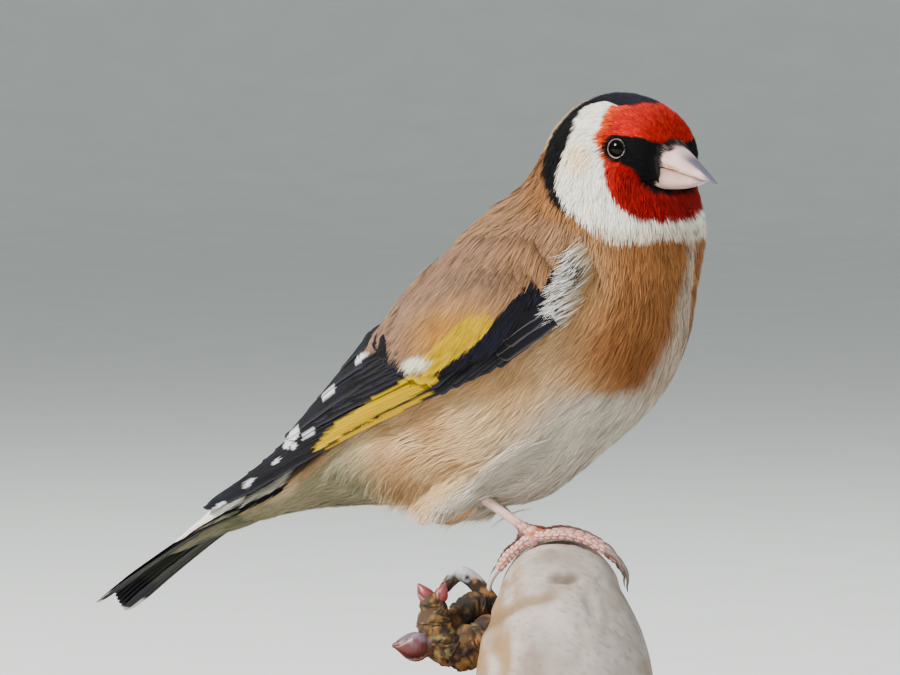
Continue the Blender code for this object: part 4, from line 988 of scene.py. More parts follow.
TAIL_LINE = ((-51.2, 13.5), (-60.0, 9.3), (-68.5, 3.9), (-76.8, -1.9))
TAIL_ROLL = 0.1
TAIL_PAIRS, TAIL_NOTCH, TAIL_STEP, TAIL_ARCH = 6, 0.07, 0.24, 0.012
TAIL_SPREAD = ((0.55, 0.56), (1.0, 0.86))
TAIL_STEPS = ((0.0, 0.9), (0.45, 1.55), (0.86, 1.72), (0.95, 1.42), (0.985, 0.9), (1.0, 0.25))


def tail_points(share, across, rise):
    rows = np.asarray(TAIL_LINE, float)
    place = np.clip(share, 0, 1) * (len(rows) - 1)
    middle = rows_at(rows, place) + np.maximum(share - 1, 0)[:, None] * np.array((-24.0, -16.5))
    ahead = rows_at(rows, np.clip(place + 0.05, 0, 3)) - rows_at(rows, np.clip(place - 0.05, 0, 3))
    ahead /= np.linalg.norm(ahead, axis=1)[:, None]
    return np.stack((middle[:, 0] + ahead[:, 1] * rise, across, middle[:, 1] - ahead[:, 0] * rise), 1)


def tail_tint(share, v, pair, side, under):
    """A tail feather's colour: v runs from its outer edge at -1 to its inner edge at 1."""
    tint = mix(BLACK, BLUE_BLACK, np.full(len(share), 0.8))
    if under:
        # The pale panels under the tail are painted dark: painted shade.
        pale = smooth((v + 0.45) / 0.25) * smooth((0.80 - share) / 0.06) * (pair >= 2)
        tint = mix(tint, TAIL_UNDER_SHADED, pale * 0.95)
        tint = mix(tint, colour(96, 96, 88), smooth((0.9 - share) / 0.1) * (pair < 2) * 0.6)
    elif pair >= 4:
        white = smooth((v - 0.1) / 0.3) * smooth((0.74 - share) / 0.08) * smooth((share - 0.35) / 0.1)
        tint = mix(tint, colour(226, 224, 220), white)
    tip = np.maximum(smooth((share - 0.975) / 0.012),
                     smooth((share - 0.88) / 0.03) * smooth((-0.35 - v) / 0.25) * (pair > 3))
    tint = mix(tint, colour(220, 214, 212), tip)
    edge = smooth((-0.86 - v) / 0.06)
    return mix(tint, colour(96, 92, 92), edge * 0.7)


def tail_vanes():
    rows, columns = 64, 11
    points, faces, tints, marks, bake = [], [], [], [], []
    count = 0
    for side in (-1, 1):
        for pair in range(TAIL_PAIRS):
            reach = 1 - TAIL_NOTCH * (1 - pair / (TAIL_PAIRS - 1)) ** 1.2
            reach *= 1.0 if side < 0 else 1.06
            level = (3 - pair) * TAIL_STEP + (0.12 if side > 0 else 0.0)
            step = np.repeat(np.linspace(0, 1, rows) ** 0.9, columns)
            v = np.tile(np.linspace(-1, 1, columns), rows)
            share = 0.05 + (reach - 0.05) * step
            half = np.interp(step, [p[0] for p in TAIL_STEPS], [p[1] for p in TAIL_STEPS])
            first = TAIL_SPREAD[0][0] + (TAIL_SPREAD[1][0] - TAIL_SPREAD[0][0]) * share
            each = TAIL_SPREAD[0][1] + (TAIL_SPREAD[1][1] - TAIL_SPREAD[0][1]) * share
            across = side * (first + each * pair) - side * v * half
            rise = level - TAIL_ARCH * across**2 - 0.16 * v * v - TAIL_ROLL * share * across
            shaft = -0.35 if pair > 1 else -0.1
            for under in (False, True):
                low = 0.1 * (1 - v * v) + 0.02
                grid = tail_points(share, across, rise - (low if under else 0.0))
                start = sum(len(p) for p in points)
                points.append(grid)
                faces.append(grid_faces(rows, columns, start))
                tints.append(tail_tint(share / (1.0 if side < 0 else 1.06), v, pair, side, under))
                marks.append(np.stack((share * 95 + np.abs(v - shaft) * 3.4, v), 1))
                cell = np.array((count % 5, count // 5)) / 5.0
                bake.append(np.stack(((v + 1) / 2, step), 1) * 0.17 + cell + 0.012)
                count += 1
                # The shaft stands out on both faces.
                pick = step.reshape(rows, columns)[:, 0]
                line_share = 0.05 + (reach - 0.05) * pick
                line_half = np.interp(pick, [p[0] for p in TAIL_STEPS], [p[1] for p in TAIL_STEPS])
                mid = side * (first[::columns] + each[::columns] * pair) - side * shaft * line_half
                thick = np.linspace(0.14, 0.04, rows)
                out = -1 if under else 1
                base = level - TAIL_ARCH * mid**2 - 0.16 * shaft**2 - (0.1 if under else 0.0)
                base = base - TAIL_ROLL * line_share * mid
                rib = np.stack([tail_points(line_share, mid + k * thick, base + out * up * thick)
                                for k, up in ((-1, 0.1), (0, 1.2), (1, 0.1))], 1).reshape(-1, 3)
                start += len(grid)
                points.append(rib)
                faces.append(grid_faces(rows, 3, start))
                shade = colour(92, 84, 74) if under else colour(30, 28, 30)
                tints.append(np.tile(shade, (len(rib), 1)))
                marks.append(np.repeat(marks[-1][::columns], 3, 0))
                spot = np.stack((np.zeros(rows), pick), 1) * 0.17 + cell + 0.012
                bake.append(np.repeat(spot, 3, 0) + np.tile(
                    ((-0.006, 0), (-0.004, 0), (-0.002, 0)), (rows, 1)))
    made = mesh_object("tail_feathers", np.vstack(points), np.vstack(faces), np.vstack(tints),
                       np.vstack(bake), np.vstack(marks))
    made.data.materials.append(VANES)
    return made


TAIL_PLUG = ((0.42, 2.8, 0.4), (0.32, 3.4, 0.9), (0.2, 3.8, 1.5), (0.08, 4.0, 2.0), (-0.04, 4.1, 2.2))


def on_plug(place, angle, grow=0.0):
    """The plumage's swelling over the roots of the tail."""
    rows = np.asarray(TAIL_PLUG, float)
    row = rows_at(rows, np.asarray(place, float))
    grow = np.broadcast_to(grow, row[:, 0].shape)
    rise = (row[:, 2] + grow + 0.45) * np.cos(angle) + 0.1
    return tail_points(row[:, 0], (row[:, 1] + grow) * np.sin(angle), rise)


def tail_coat():
    def density(s, a, points):
        return np.full(len(s), 4.0)

    def tint(s, a, points):
        top = np.cos(a) > 0.1
        # The under side of the tail's plumage takes the vent's colour, which carries painted shade.
        pale = mix(np.broadcast_to(VENT_SHADED, (len(s), 3)), colour(118, 116, 90),
                   smooth(0.5 + noise(points, 3.0, 41)))
        pale = mix(pale, BLUE_BLACK, smooth((np.cos(a) + 0.12) / 0.1))
        return np.where(top[:, None], WHITE, pale)

    s, a = spread(1.0, (0.2, -np.pi), (3.95, np.pi), on_plug, density)
    result = comb(s, a, on_plug, 7, 5.4, 0.2, 0.6, -0.3, tint, None, None, 0.06, 0.1)
    return coat_piece("coat_tail", result, (0, 1), (0, 4))


# ---- Legs, feet and claws ----
PERCH_TURN = math.radians(26.0)
ALONG = np.array((math.sin(PERCH_TURN), -math.cos(PERCH_TURN), 0.0))
ACROSS = np.array((math.cos(PERCH_TURN), math.sin(PERCH_TURN), 0.0))
PERCH_LINE = np.array((
    (-21.0, -1.8, 8.6), (-14.0, -0.7, 9.0), (-7.0, -0.1, 9.3), (0.0, 0.0, 9.4), (6.0, -0.6, 9.8),
    (11.0, -2.8, 11.0), (15.0, -6.4, 12.4), (18.0, -11.2, 13.4), (19.6, -16.2, 14.0),
    (20.0, -21.0, 14.2)))
GAP, TOE_RADIUS = 0.3, 0.72
FEET = (
    ("right", -1, (4.1, -4.2, 10.3), (-9.9, -7.3, 15.9), (-17.4, -8.2, 12.6)),
    ("left", 1, (-6.0, -5.4, 10.3), (-14.4, 6.6, 14.3), (-21.0, 7.6, 13.2)),
)
TOES = (
    (2, -2.7, (-13.0, 3.0, 20.0, 36.0)), (3, 0.3, (-13.0, 7.0, 29.0, 50.0)),
    (4, 3.1, (-13.0, 1.0, 18.0, 35.0)), (1, 0.2, (-37.0, -48.0, -59.0)),
)
CLAW_LENGTHS = {1: 40.0, 2: 26.0, 3: 28.0, 4: 26.0}


def on_perch(along, across, height):
    return ALONG * along + ACROSS * across + np.array((0.0, 0.0, height))


def round_perch(along, degrees, clear):
    place = np.interp(along, PERCH_LINE[:, 0], np.arange(len(PERCH_LINE)))
    _, height, radius = rows_at(PERCH_LINE, np.array([place]))[0]
    angle, reach = math.radians(degrees), radius + clear
    return on_perch(along, reach * math.sin(angle), height + reach * math.cos(angle))


def catmull(points, rows):
    points = np.asarray(points, float)
    return rows_at(points, np.linspace(0, len(points) - 1, rows))


def tube(path, radii, rows=40, sides=18, up=(0, 0, 1), shape=None, round_ends=True):
    """A closed tube on a smooth path. shape gives each point's swelling from its share and turn."""
    centre = catmull(path, rows)
    radius = np.interp(np.linspace(0, len(radii) - 1, rows), np.arange(len(radii)), radii)
    run = np.gradient(centre, axis=0)
    run /= np.linalg.norm(run, axis=1)[:, None]
    up = np.asarray(up, float) - run * (run @ np.asarray(up, float))[:, None]
    up /= np.linalg.norm(up, axis=1)[:, None]
    aside = np.cross(run, up)
    if round_ends:
        ends = 5
        fall = np.cos(np.linspace(np.pi / 2, 0, ends + 1)[:-1])
        slide = np.sin(np.linspace(np.pi / 2, 0, ends + 1)[:-1])
        head = centre[0] - run[0] * radius[0] * slide[:, None]
        tail = (centre[-1] + run[-1] * radius[-1] * slide[:, None])[::-1]
        centre = np.vstack((head, centre, tail))
        radius = np.concatenate((radius[0] * np.maximum(fall, 0.04), radius,
                                 (radius[-1] * np.maximum(fall, 0.04))[::-1]))
        up = np.vstack((np.repeat(up[:1], ends, 0), up, np.repeat(up[-1:], ends, 0)))
        aside = np.vstack((np.repeat(aside[:1], ends, 0), aside, np.repeat(aside[-1:], ends, 0)))
    total = len(centre)
    share = np.repeat(np.linspace(0, 1, total), sides)
    turn = np.tile(np.linspace(0, 2 * np.pi, sides, endpoint=False), total)
    reach = np.repeat(radius, sides)
    if shape is not None:
        reach = reach * shape(share, turn)
    centre, up, aside = (np.repeat(a, sides, 0) for a in (centre, up, aside))
    points = centre + up * (reach * np.cos(turn))[:, None] + aside * (reach * np.sin(turn))[:, None]
    faces = grid_faces(total, sides, closed=True)
    bake = np.stack((turn / (2 * np.pi), share), 1)
    return points, faces, share, turn, bake


def join_tubes(name, tubes, mat):
    """One object from several tubes, each with its tint."""
    points, faces, tints, bake, start = [], [], [], [], 0
    cells = math.ceil(math.sqrt(len(tubes)))
    for k, (made, tint) in enumerate(tubes):
        pts, fcs, share, turn, uv = made
        points.append(pts)
        faces.append(fcs + start)
        tints.append(np.broadcast_to(tint, (len(pts), 3)))
        bake.append((uv * 0.94 + 0.03 + np.array((k % cells, k // cells))) / cells)
        start += len(pts)
    made = mesh_object(name, np.vstack(points), np.vstack(faces), np.vstack(tints), np.vstack(bake))
    made.data.materials.append(mat)
    return made


SKIN_PINK, WEB, SCUTE = colour(206, 150, 138), colour(196, 110, 64), colour(228, 202, 192)


def scales_on(share, turn, count, columns=7):
    """Rows of rounded scales, each row set half a scale on from the one beside it."""
    wave = 0.13 * np.sin(share * count * 2.3) + 0.1 * np.sin(turn * 2 + share * 9)
    column = turn * columns / (2 * np.pi) + wave
    row = share * count + 0.5 * (np.floor(column) % 2) + 0.12 * np.sin(np.floor(column) * 2.1)
    across = 1 - (2 * (column % 1.0) - 1) ** 2
    along = 1 - (2 * ((row % 1.0) ** 0.85) - 1) ** 2
    return np.maximum(across * along, 0) ** 0.7


def scutes(count, height=0.13, smooth_to=-1.0):
    def shape(share, turn):
        calm = smooth((smooth_to - share) / 0.12)
        return 1 + height * (scales_on(share, turn, count) - 0.5) * (1 - 0.85 * calm)
    return shape


def scute_tint(made, count, base=colour(178, 104, 94), top=colour(226, 182, 170), smooth_to=-1.0):
    _, _, share, turn, _ = made
    bump = scales_on(share, turn, count)
    tint = mix(np.broadcast_to(base, (len(share), 3)), top, smooth((bump - 0.1) / 0.8))
    calm = smooth((smooth_to - share) / 0.12)
    return mix(tint, colour(232, 196, 180), calm * 0.85)


def leg_material(name, rough):
    made = tinted(name, rough, 1500.0, 0.2, 0.25, Subsurface_Weight=0.15,
                  Subsurface_Radius=(0.0012, 0.0005, 0.0003), Coat_Weight=0.15, Coat_Roughness=0.35)
    return made


def feet():
    made = []
    flesh = leg_material("leg_skin", 0.42)
    horn = tinted("claw_horn", 0.28, 1200.0, 0.15, 0.1, Coat_Weight=0.4, Coat_Roughness=0.2)
    for name, side, joint, heel, fluff in FEET:
        at = on_perch(*joint)
        heel = np.asarray(heel)
        run = (at - heel) / np.linalg.norm(at - heel)
        front = np.cross(run, (0, 1, 0))
        path = [heel - run * 1.5, heel + run * 1.0, heel + run * 3.0, heel + run * 6.0,
                heel + run * 9.0, at + np.array((0, 0, -0.1))]
        leg = tube(path, [0.8, 0.8, 0.7, 0.68, 0.78, 1.0], 150, 40, -front, scutes(13, 0.14, 0.7))
        tarsus = join_tubes("leg_" + name, [(leg, scute_tint(leg, 13, smooth_to=0.7))], flesh)
        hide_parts("tarsus_" + name)
        parts = []
        pad = tube([at + (0, 0, -1.0), at + (0, 0, 0.25)], [0.95, 1.0], 10, 20, (1, 0, 0))
        parts.append((pad, SKIN_PINK))
        web = tube([at, round_perch(joint[0], -14.0, TOE_RADIUS + GAP + 0.1)], [1.05, 0.8], 12, 18,
                   (1, 0, 0))
        parts.append((web, WEB))
        claws = []
        for number, along, reaches in TOES:
            path, radii = [at + (0, 0, -0.3)], [0.82]
            for k, degrees in enumerate(reaches):
                share = (k + 1) / len(reaches)
                path.append(round_perch(
                    joint[0] + along * share**0.7, degrees, TOE_RADIUS + GAP + 0.03))
                radii.append(TOE_RADIUS * (1.0 - 0.14 * share) * (1.06 if k % 2 else 0.92)
                             * (1.15 if number == 1 else 1.0))
            outward = path[-2] - on_perch(joint[0], 0, 0)
            count = 8 if number == 1 else 11
            toe = tube(path, radii, 150, 48, outward, scutes(count, 0.26))
            tint = scute_tint(toe, count)
            # Painted shadow: the far (left) foot's toes are darkened, though their colour is the same as the near
            # foot's.
            if name == "left":
                tint = tint * np.array((0.62, 0.5, 0.52))
            parts.append((toe, tint))
            step = math.copysign(CLAW_LENGTHS[number], reaches[-1] if number == 1 else 1.0)
            claw_path, claw_radii = [], []
            for k in range(8):
                share = k / 7
                arch = 0.75 * math.sin(math.pi * min(share * 1.15, 1.0)) + 0.5 * (1 - share)
                claw_path.append(round_perch(
                    joint[0] + along, reaches[-1] + math.copysign(1.6, step) + step * share,
                    0.42 + GAP + arch * 0.7))
                claw_radii.append(0.5 * (1.0 - 0.86 * share**1.3))
            claw = tube(claw_path, claw_radii, 40, 16, outward, None)
            share = claw[2]
            shade = mix(np.broadcast_to(colour(150, 128, 118), (len(share), 3)),
                        colour(70, 62, 62), smooth((share - 0.2) / 0.8))
            if number == 1:
                shade = mix(shade, colour(214, 204, 198), np.full(len(share), 0.75))
            piece = join_tubes("toe_claw_%s_%d" % (name, number), [(claw, shade)], horn)
            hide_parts("claw_%s_%d" % (name, number))
            made.append(piece)
        foot = join_tubes("toes_" + name, parts, flesh)
        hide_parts("foot_" + name)
        for piece in (foot, tarsus):
            made.append(piece)
    return made


def thigh_surface(heel, fluff):
    heel, fluff = np.asarray(heel), np.asarray(fluff)
    long = np.linalg.norm(fluff - heel)
    run = (fluff - heel) / long
    aside = np.array((0.0, 1.0, 0.0))
    up = np.cross(aside, run)
    up *= math.copysign(1.0, up[2])

    def surface(s, a, grow=0.0):
        s = 1.0 - np.asarray(s, float)
        fat = np.sqrt(np.maximum(0.03, 1.0 - ((s - 0.46) / 0.56) ** 2))
        middle = heel + run * long * s[:, None] + up * (1.2 * fat)[:, None]
        grow = np.broadcast_to(grow, s.shape)
        return (middle + aside * ((3.4 * fat + grow) * np.sin(a))[:, None]
                + up * ((3.6 * fat + grow) * np.cos(a))[:, None])
    return surface


def thigh_coat():
    made = []
    for name, side, joint, heel, fluff in FEET:
        surface = thigh_surface(heel, fluff)

        def tint(s, a, p, side=side, fluff=fluff):
            buff = mix(np.broadcast_to(FLANK, (len(s), 3)), FLANK_PALE, smooth(
                0.5 + noise(p, 2.0, 43) - 0.5 * (p[:, 2] - 13.0) / 3))
            return mix(buff, BELLY, smooth(0.4 - (p[:, 1] - fluff[1]) * side / 3.0) * 0.9)

        s, a = spread(1.0, (0.04, -np.pi), (0.96, np.pi), surface,
                      lambda s, a, p: np.full(len(s), 6.0))
        length = np.interp(s, (0.0, 0.4, 0.8, 1.0), (3.2, 4.6, 4.6, 3.4))
        run = np.asarray(fluff) - np.asarray(heel)
        keep = lambda p, heel=np.asarray(heel), run=run / np.linalg.norm(run): (
            ((p - heel) @ run > -1.3) & ((p - heel)[:, 0] < 2.6))
        result = comb(s, a, surface, 8, length, 0.13, 0.9, -0.8, tint, keep, None, 0.16, 0.28, 0.6)
        made += coat_piece("coat_thigh_" + name, result, (0, 1), (0, 1))
    return made


# ---- Eyes and bill ----
def eyes():
    made = []
    ball_look, nodes, links, shader = material(
        "eye", None, 0.06, Coat_Weight=0.06, Coat_Roughness=0.03, Specular_IOR_Level=0.11)
    held = nodes.new("ShaderNodeAttribute")
    held.attribute_name = "tint"
    speck = add_noise(nodes, links, 2600.0)
    ramp = add_ramp(nodes, links, speck.outputs["Fac"], ((0.3, 0.7), (0.7, 1.0)))
    links.new(add_mix(nodes, links, "MULTIPLY", 1.0, held.outputs["Color"], ramp.outputs["Color"]),
              shader.inputs["Base Color"])
    lid_look = tinted("eyelid", 0.55, 2400.0, 0.3, 0.5)
    for side, name in ((-1, "right"), (1, "left")):
        centre, look, across, up = eye_frame(side)
        rows, columns = 40, 48
        polar = np.repeat(np.linspace(0.0, np.pi * 0.62, rows), columns)
        turn = np.tile(np.linspace(0, 2 * np.pi, columns, endpoint=False), rows)
        bulge = EYE_RADIUS * (1 + 0.03 * np.exp(-(polar / 0.5) ** 2))
        points = centre + (look[None] * (bulge * np.cos(polar))[:, None]
                           + across[None] * (bulge * np.sin(polar) * np.cos(turn))[:, None]
                           + up[None] * (bulge * np.sin(polar) * np.sin(turn))[:, None])
        streak = 0.5 + 0.5 * np.sin(turn * 17 + 3 * np.sin(turn * 5))
        iris = mix(colour(40, 25, 19)[None].repeat(len(polar), 0), colour(22, 14, 12), streak)
        pupil = smooth((0.6 - polar) / 0.04)
        tint = mix(iris, colour(5, 5, 6), pupil)
        tint = mix(tint, colour(10, 8, 8), smooth((polar - 0.86) / 0.1))
        uv = np.stack((0.5 + 0.49 * polar / (np.pi * 0.62) * np.cos(turn),
                       0.5 + 0.49 * polar / (np.pi * 0.62) * np.sin(turn)), 1)
        ball = mesh_object("eyeball_" + name, points, grid_faces(rows, columns, closed=True), tint, uv)
        ball.data.materials.append(ball_look)
        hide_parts("eye_" + name)
        # Two lids meet in corners fore and aft; their edge is a row of small pale grains.
        rows, columns = 14, 160
        v = np.repeat(np.linspace(-np.pi, np.pi, rows), columns)
        turn = np.tile(np.linspace(0, 2 * np.pi, columns, endpoint=False), rows)
        grain = 1 + 0.3 * np.abs(np.sin(turn * 17)) * smooth(np.cos(v) + 0.4)
        thick = 0.085 * grain
        wide = 1.40 + 0.03 * np.cos(2 * turn + np.pi)
        wide = wide + 0.04 * np.exp(-((np.abs(np.cos(turn)) - 1) / 0.04) ** 2)
        out = np.sqrt(EYE_RADIUS**2 - wide**2) + 0.07
        r = wide + thick * np.sin(v)
        h = out + thick * np.cos(v) * 1.1
        h = np.minimum(h, LID_PLACE + 0.1)
        points = centre + (look[None] * h[:, None] + across[None] * (r * np.cos(turn))[:, None]
                           + up[None] * (r * np.sin(turn))[:, None])
        tint = mix(colour(30, 27, 29)[None].repeat(len(v), 0), colour(176, 170, 168),
                   smooth((np.cos(v) - 0.1) / 0.4) * (0.3 + 0.7 * np.abs(np.sin(turn * 17))))
        uv = np.stack((turn / (2 * np.pi) * 0.98 + 0.01, (v + np.pi) / (2 * np.pi)), 1)
        lids = mesh_object("eyelids_" + name, points, grid_faces(rows, columns, closed=True), tint, uv)
        lids.data.materials.append(lid_look)
        made += [ball, lids]
    return made


BILL_BASE_X, BILL_TIP_X = 20.5, 28.7
MOUTH_Z, BILL_TIP_Z = 65.8, 63.3


UPPER = (19.3, BILL_TIP_X, 69.6, 63.4, 0.08, 1.1, 0.8, True)
LOWER = (18.5, 26.6, 62.5, 63.75, -0.08, 1.8, 0.46, False)


def bill_surface(x, a, start, tip, outer_z, outer_tip_z, gap, arch, boxy, upper):
    """Across, up and the mouth's height for places on a half of the bill, in the head's own axes."""
    held = np.clip((x - BILL_BASE_X) / (BILL_TIP_X - BILL_BASE_X), 0, 1)
    past = np.clip((x - BILL_BASE_X) / (tip - BILL_BASE_X), 0, 1)
    width = 3.6 * (1 - past) ** 0.74 * (1 - 0.1 * past) + 0.1
    width = width + (0.72 if upper else 0.92) * np.clip(BILL_BASE_X - x, 0, 1.6)
    mouth = MOUTH_Z + (BILL_TIP_Z - MOUTH_Z) * held**1.15 + gap
    mouth = mouth + (0.12 * np.sin(held * 9.0) + 0.04 * np.sin(held * 31)) * (1 - held)
    edge = outer_z + (outer_tip_z - outer_z) * past**arch
    lift = (edge - mouth) * np.maximum(np.sin(a), 0) ** boxy
    lip = 1 - 0.10 * np.exp(-(np.sin(a) / 0.12) ** 2)
    width = width * lip * (1 - 0.05 * (np.sin(a) > 0.97) * (1 if upper else 0))
    y = width * np.sign(np.cos(a)) * np.abs(np.cos(a)) ** (1.0 if upper else 0.5)
    return y, mouth + lift, mouth


def bill_half(name, shape):
    start, tip, upper = shape[0], shape[1], shape[-1]
    rows, columns = 80, 44
    share = np.repeat(np.sin(np.linspace(0, np.pi / 2, rows)), columns)
    a = np.tile(np.linspace(0, np.pi, columns), rows)
    x = start + (tip - start) * share
    y, z, mouth = bill_surface(x, a, *shape)
    inner_y = y * 0.8
    inner_z = mouth + (z - mouth) * 0.12 + (0.02 if upper else -0.02)
    grids = []
    for yy, zz in ((y, z), (inner_y, inner_z)):
        grids.append(np.stack(in_head(x, yy, zz), 1))
    points = np.vstack(grids)
    n = rows * columns
    outer, inner = grid_faces(rows, columns), grid_faces(rows, columns, n)
    k = np.arange(rows - 1) * columns
    rims = []
    for side in (0, columns - 1):
        rims.append(np.stack((k + side, k + columns + side, n + k + columns + side, n + k + side), 1))
    faces = np.vstack((outer, inner, *rims))
    pale = colour(234, 206, 200) if upper else colour(228, 190, 178)
    tint = mix(np.broadcast_to(pale, (n, 3)), colour(216, 168, 164),
               smooth(0.5 + noise(grids[0], 1.4, 51)) * 0.7)
    ridge = smooth((np.sin(a) - 0.66) / 0.26) if upper else 0.0 * a
    grey = np.clip(ridge * smooth((share - 0.3) / 0.25) + smooth((share - 0.7) / 0.25), 0, 1)
    tint = mix(tint, colour(66, 76, 104), grey * (0.92 if upper else 0.5))
    rim = np.exp(-(np.sin(a) / 0.13) ** 2) * smooth((0.85 - share) / 0.2)
    rim = rim * (0.7 + 0.5 * noise(grids[0], 0.5, 52))
    tint = mix(tint, colour(164, 112, 48), np.clip(rim, 0, 1) * (1.0 if upper else 0.5))
    if upper:
        for side in (-1, 1):
            far = np.hypot((x - 21.3) / 0.45, (z - 68.5) / 0.34) + 9 * (y * side < 0)
            tint = mix(tint, colour(58, 36, 32), smooth(1.4 - far))
            sink = smooth(1.2 - far) * 0.25
            points[:n] -= np.outer(sink * side, in_head(TURN_X, 1, 0) - in_head(TURN_X, 0, 0))
    inside_tint = np.broadcast_to(colour(120, 62, 58), (n, 3))
    uv = np.stack((a / np.pi * 0.46 + 0.01, share * 0.96 + 0.02), 1)
    made = mesh_object(name, points, faces, np.vstack((tint, inside_tint)),
                       np.vstack((uv, uv + (0.5, 0))))
    return made


def bristles():
    """Stiff little plumes from the lores, which lie forward over the base of the bill."""
    paths, tints, roots = [], [], []
    for shape, count, low, high in ((UPPER, 760, 0.0, np.pi), (LOWER, 420, 0.0, np.pi)):
        for _ in range(count):
            a = rng.uniform(low, high)
            height = abs(math.sin(a))
            if shape is UPPER:
                long = (1.0 + 0.9 * height**2) * rng.uniform(0.4, 1.15)
                pale = rng.random() < 0.42 * (1 - height) ** 0.5
            else:
                long = (0.9 - 0.5 * height) * rng.uniform(0.5, 1.1)
                pale = rng.random() < 0.3 * (1 - height)
            drift = rng.normal(0, 0.06)
            path = []
            for t in (0.0, 0.34, 0.7, 1.0):
                x = np.array((19.9 if shape is UPPER else 19.3) + long * t)
                turn = np.clip(a + drift * t, 0.02, np.pi - 0.02)
                y, z, _ = bill_surface(x, turn, *shape)
                out = 0.5 * (1 - t) ** 1.3 + 0.07 + 0.1 * math.sin(math.pi * t)
                sink = -1 if shape is LOWER else 1
                path.append(in_head(x, y + out * math.cos(turn), z + sink * out * math.sin(turn)))
            paths.append(path)
            roots.append((0.5 + path[0][1] / 16.0, (path[0][2] - 60.0) / 12.0))
            tints.append(colour(150, 140, 138) if pale else BLACK)
    paths = np.array(paths)
    outward = paths[:, 1] - in_head(22.0, 0.0, 66.0)
    sides = np.cross(paths[:, 3] - paths[:, 0], outward)
    sides /= np.linalg.norm(sides, axis=1)[:, None]
    # The bristles darken towards their roots: painted shade.
    shades = np.array(tints)[:, None, :] * np.array((0.6, 0.9, 1.0, 1.0))[None, :, None]
    return [strip_object("coat_bristles", paths, sides, rng.uniform(0.05, 0.085, len(paths)), shades,
                         np.clip(np.array(roots), 0.01, 0.99), COAT)]


def bill():
    horn = tinted("bill_horn", 0.34, 700.0, 0.08, 0.12, Coat_Weight=0.35, Coat_Roughness=0.25,
                  Subsurface_Weight=0.12, Subsurface_Radius=(0.0012, 0.0006, 0.0004))
    made = []
    for name, shape in (("upper", UPPER), ("lower", LOWER)):
        half = bill_half("beak_" + name, shape)
        half.data.materials.append(horn)
        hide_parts("bill_" + name)
        made.append(half)
    return made


# ---- Perch, spur and buds ----
def perch_bark(along, angle):
    calm = smooth((np.abs(along) - 6.0) / 5.0)
    ripple = 0.028 * np.sin(3 * angle + 0.21 * along) + 0.02 * np.sin(5 * angle - 0.33 * along)
    return calm * ripple - (1 - calm) * 0.012 * (1 + np.sin(4 * angle + 0.3 * along))


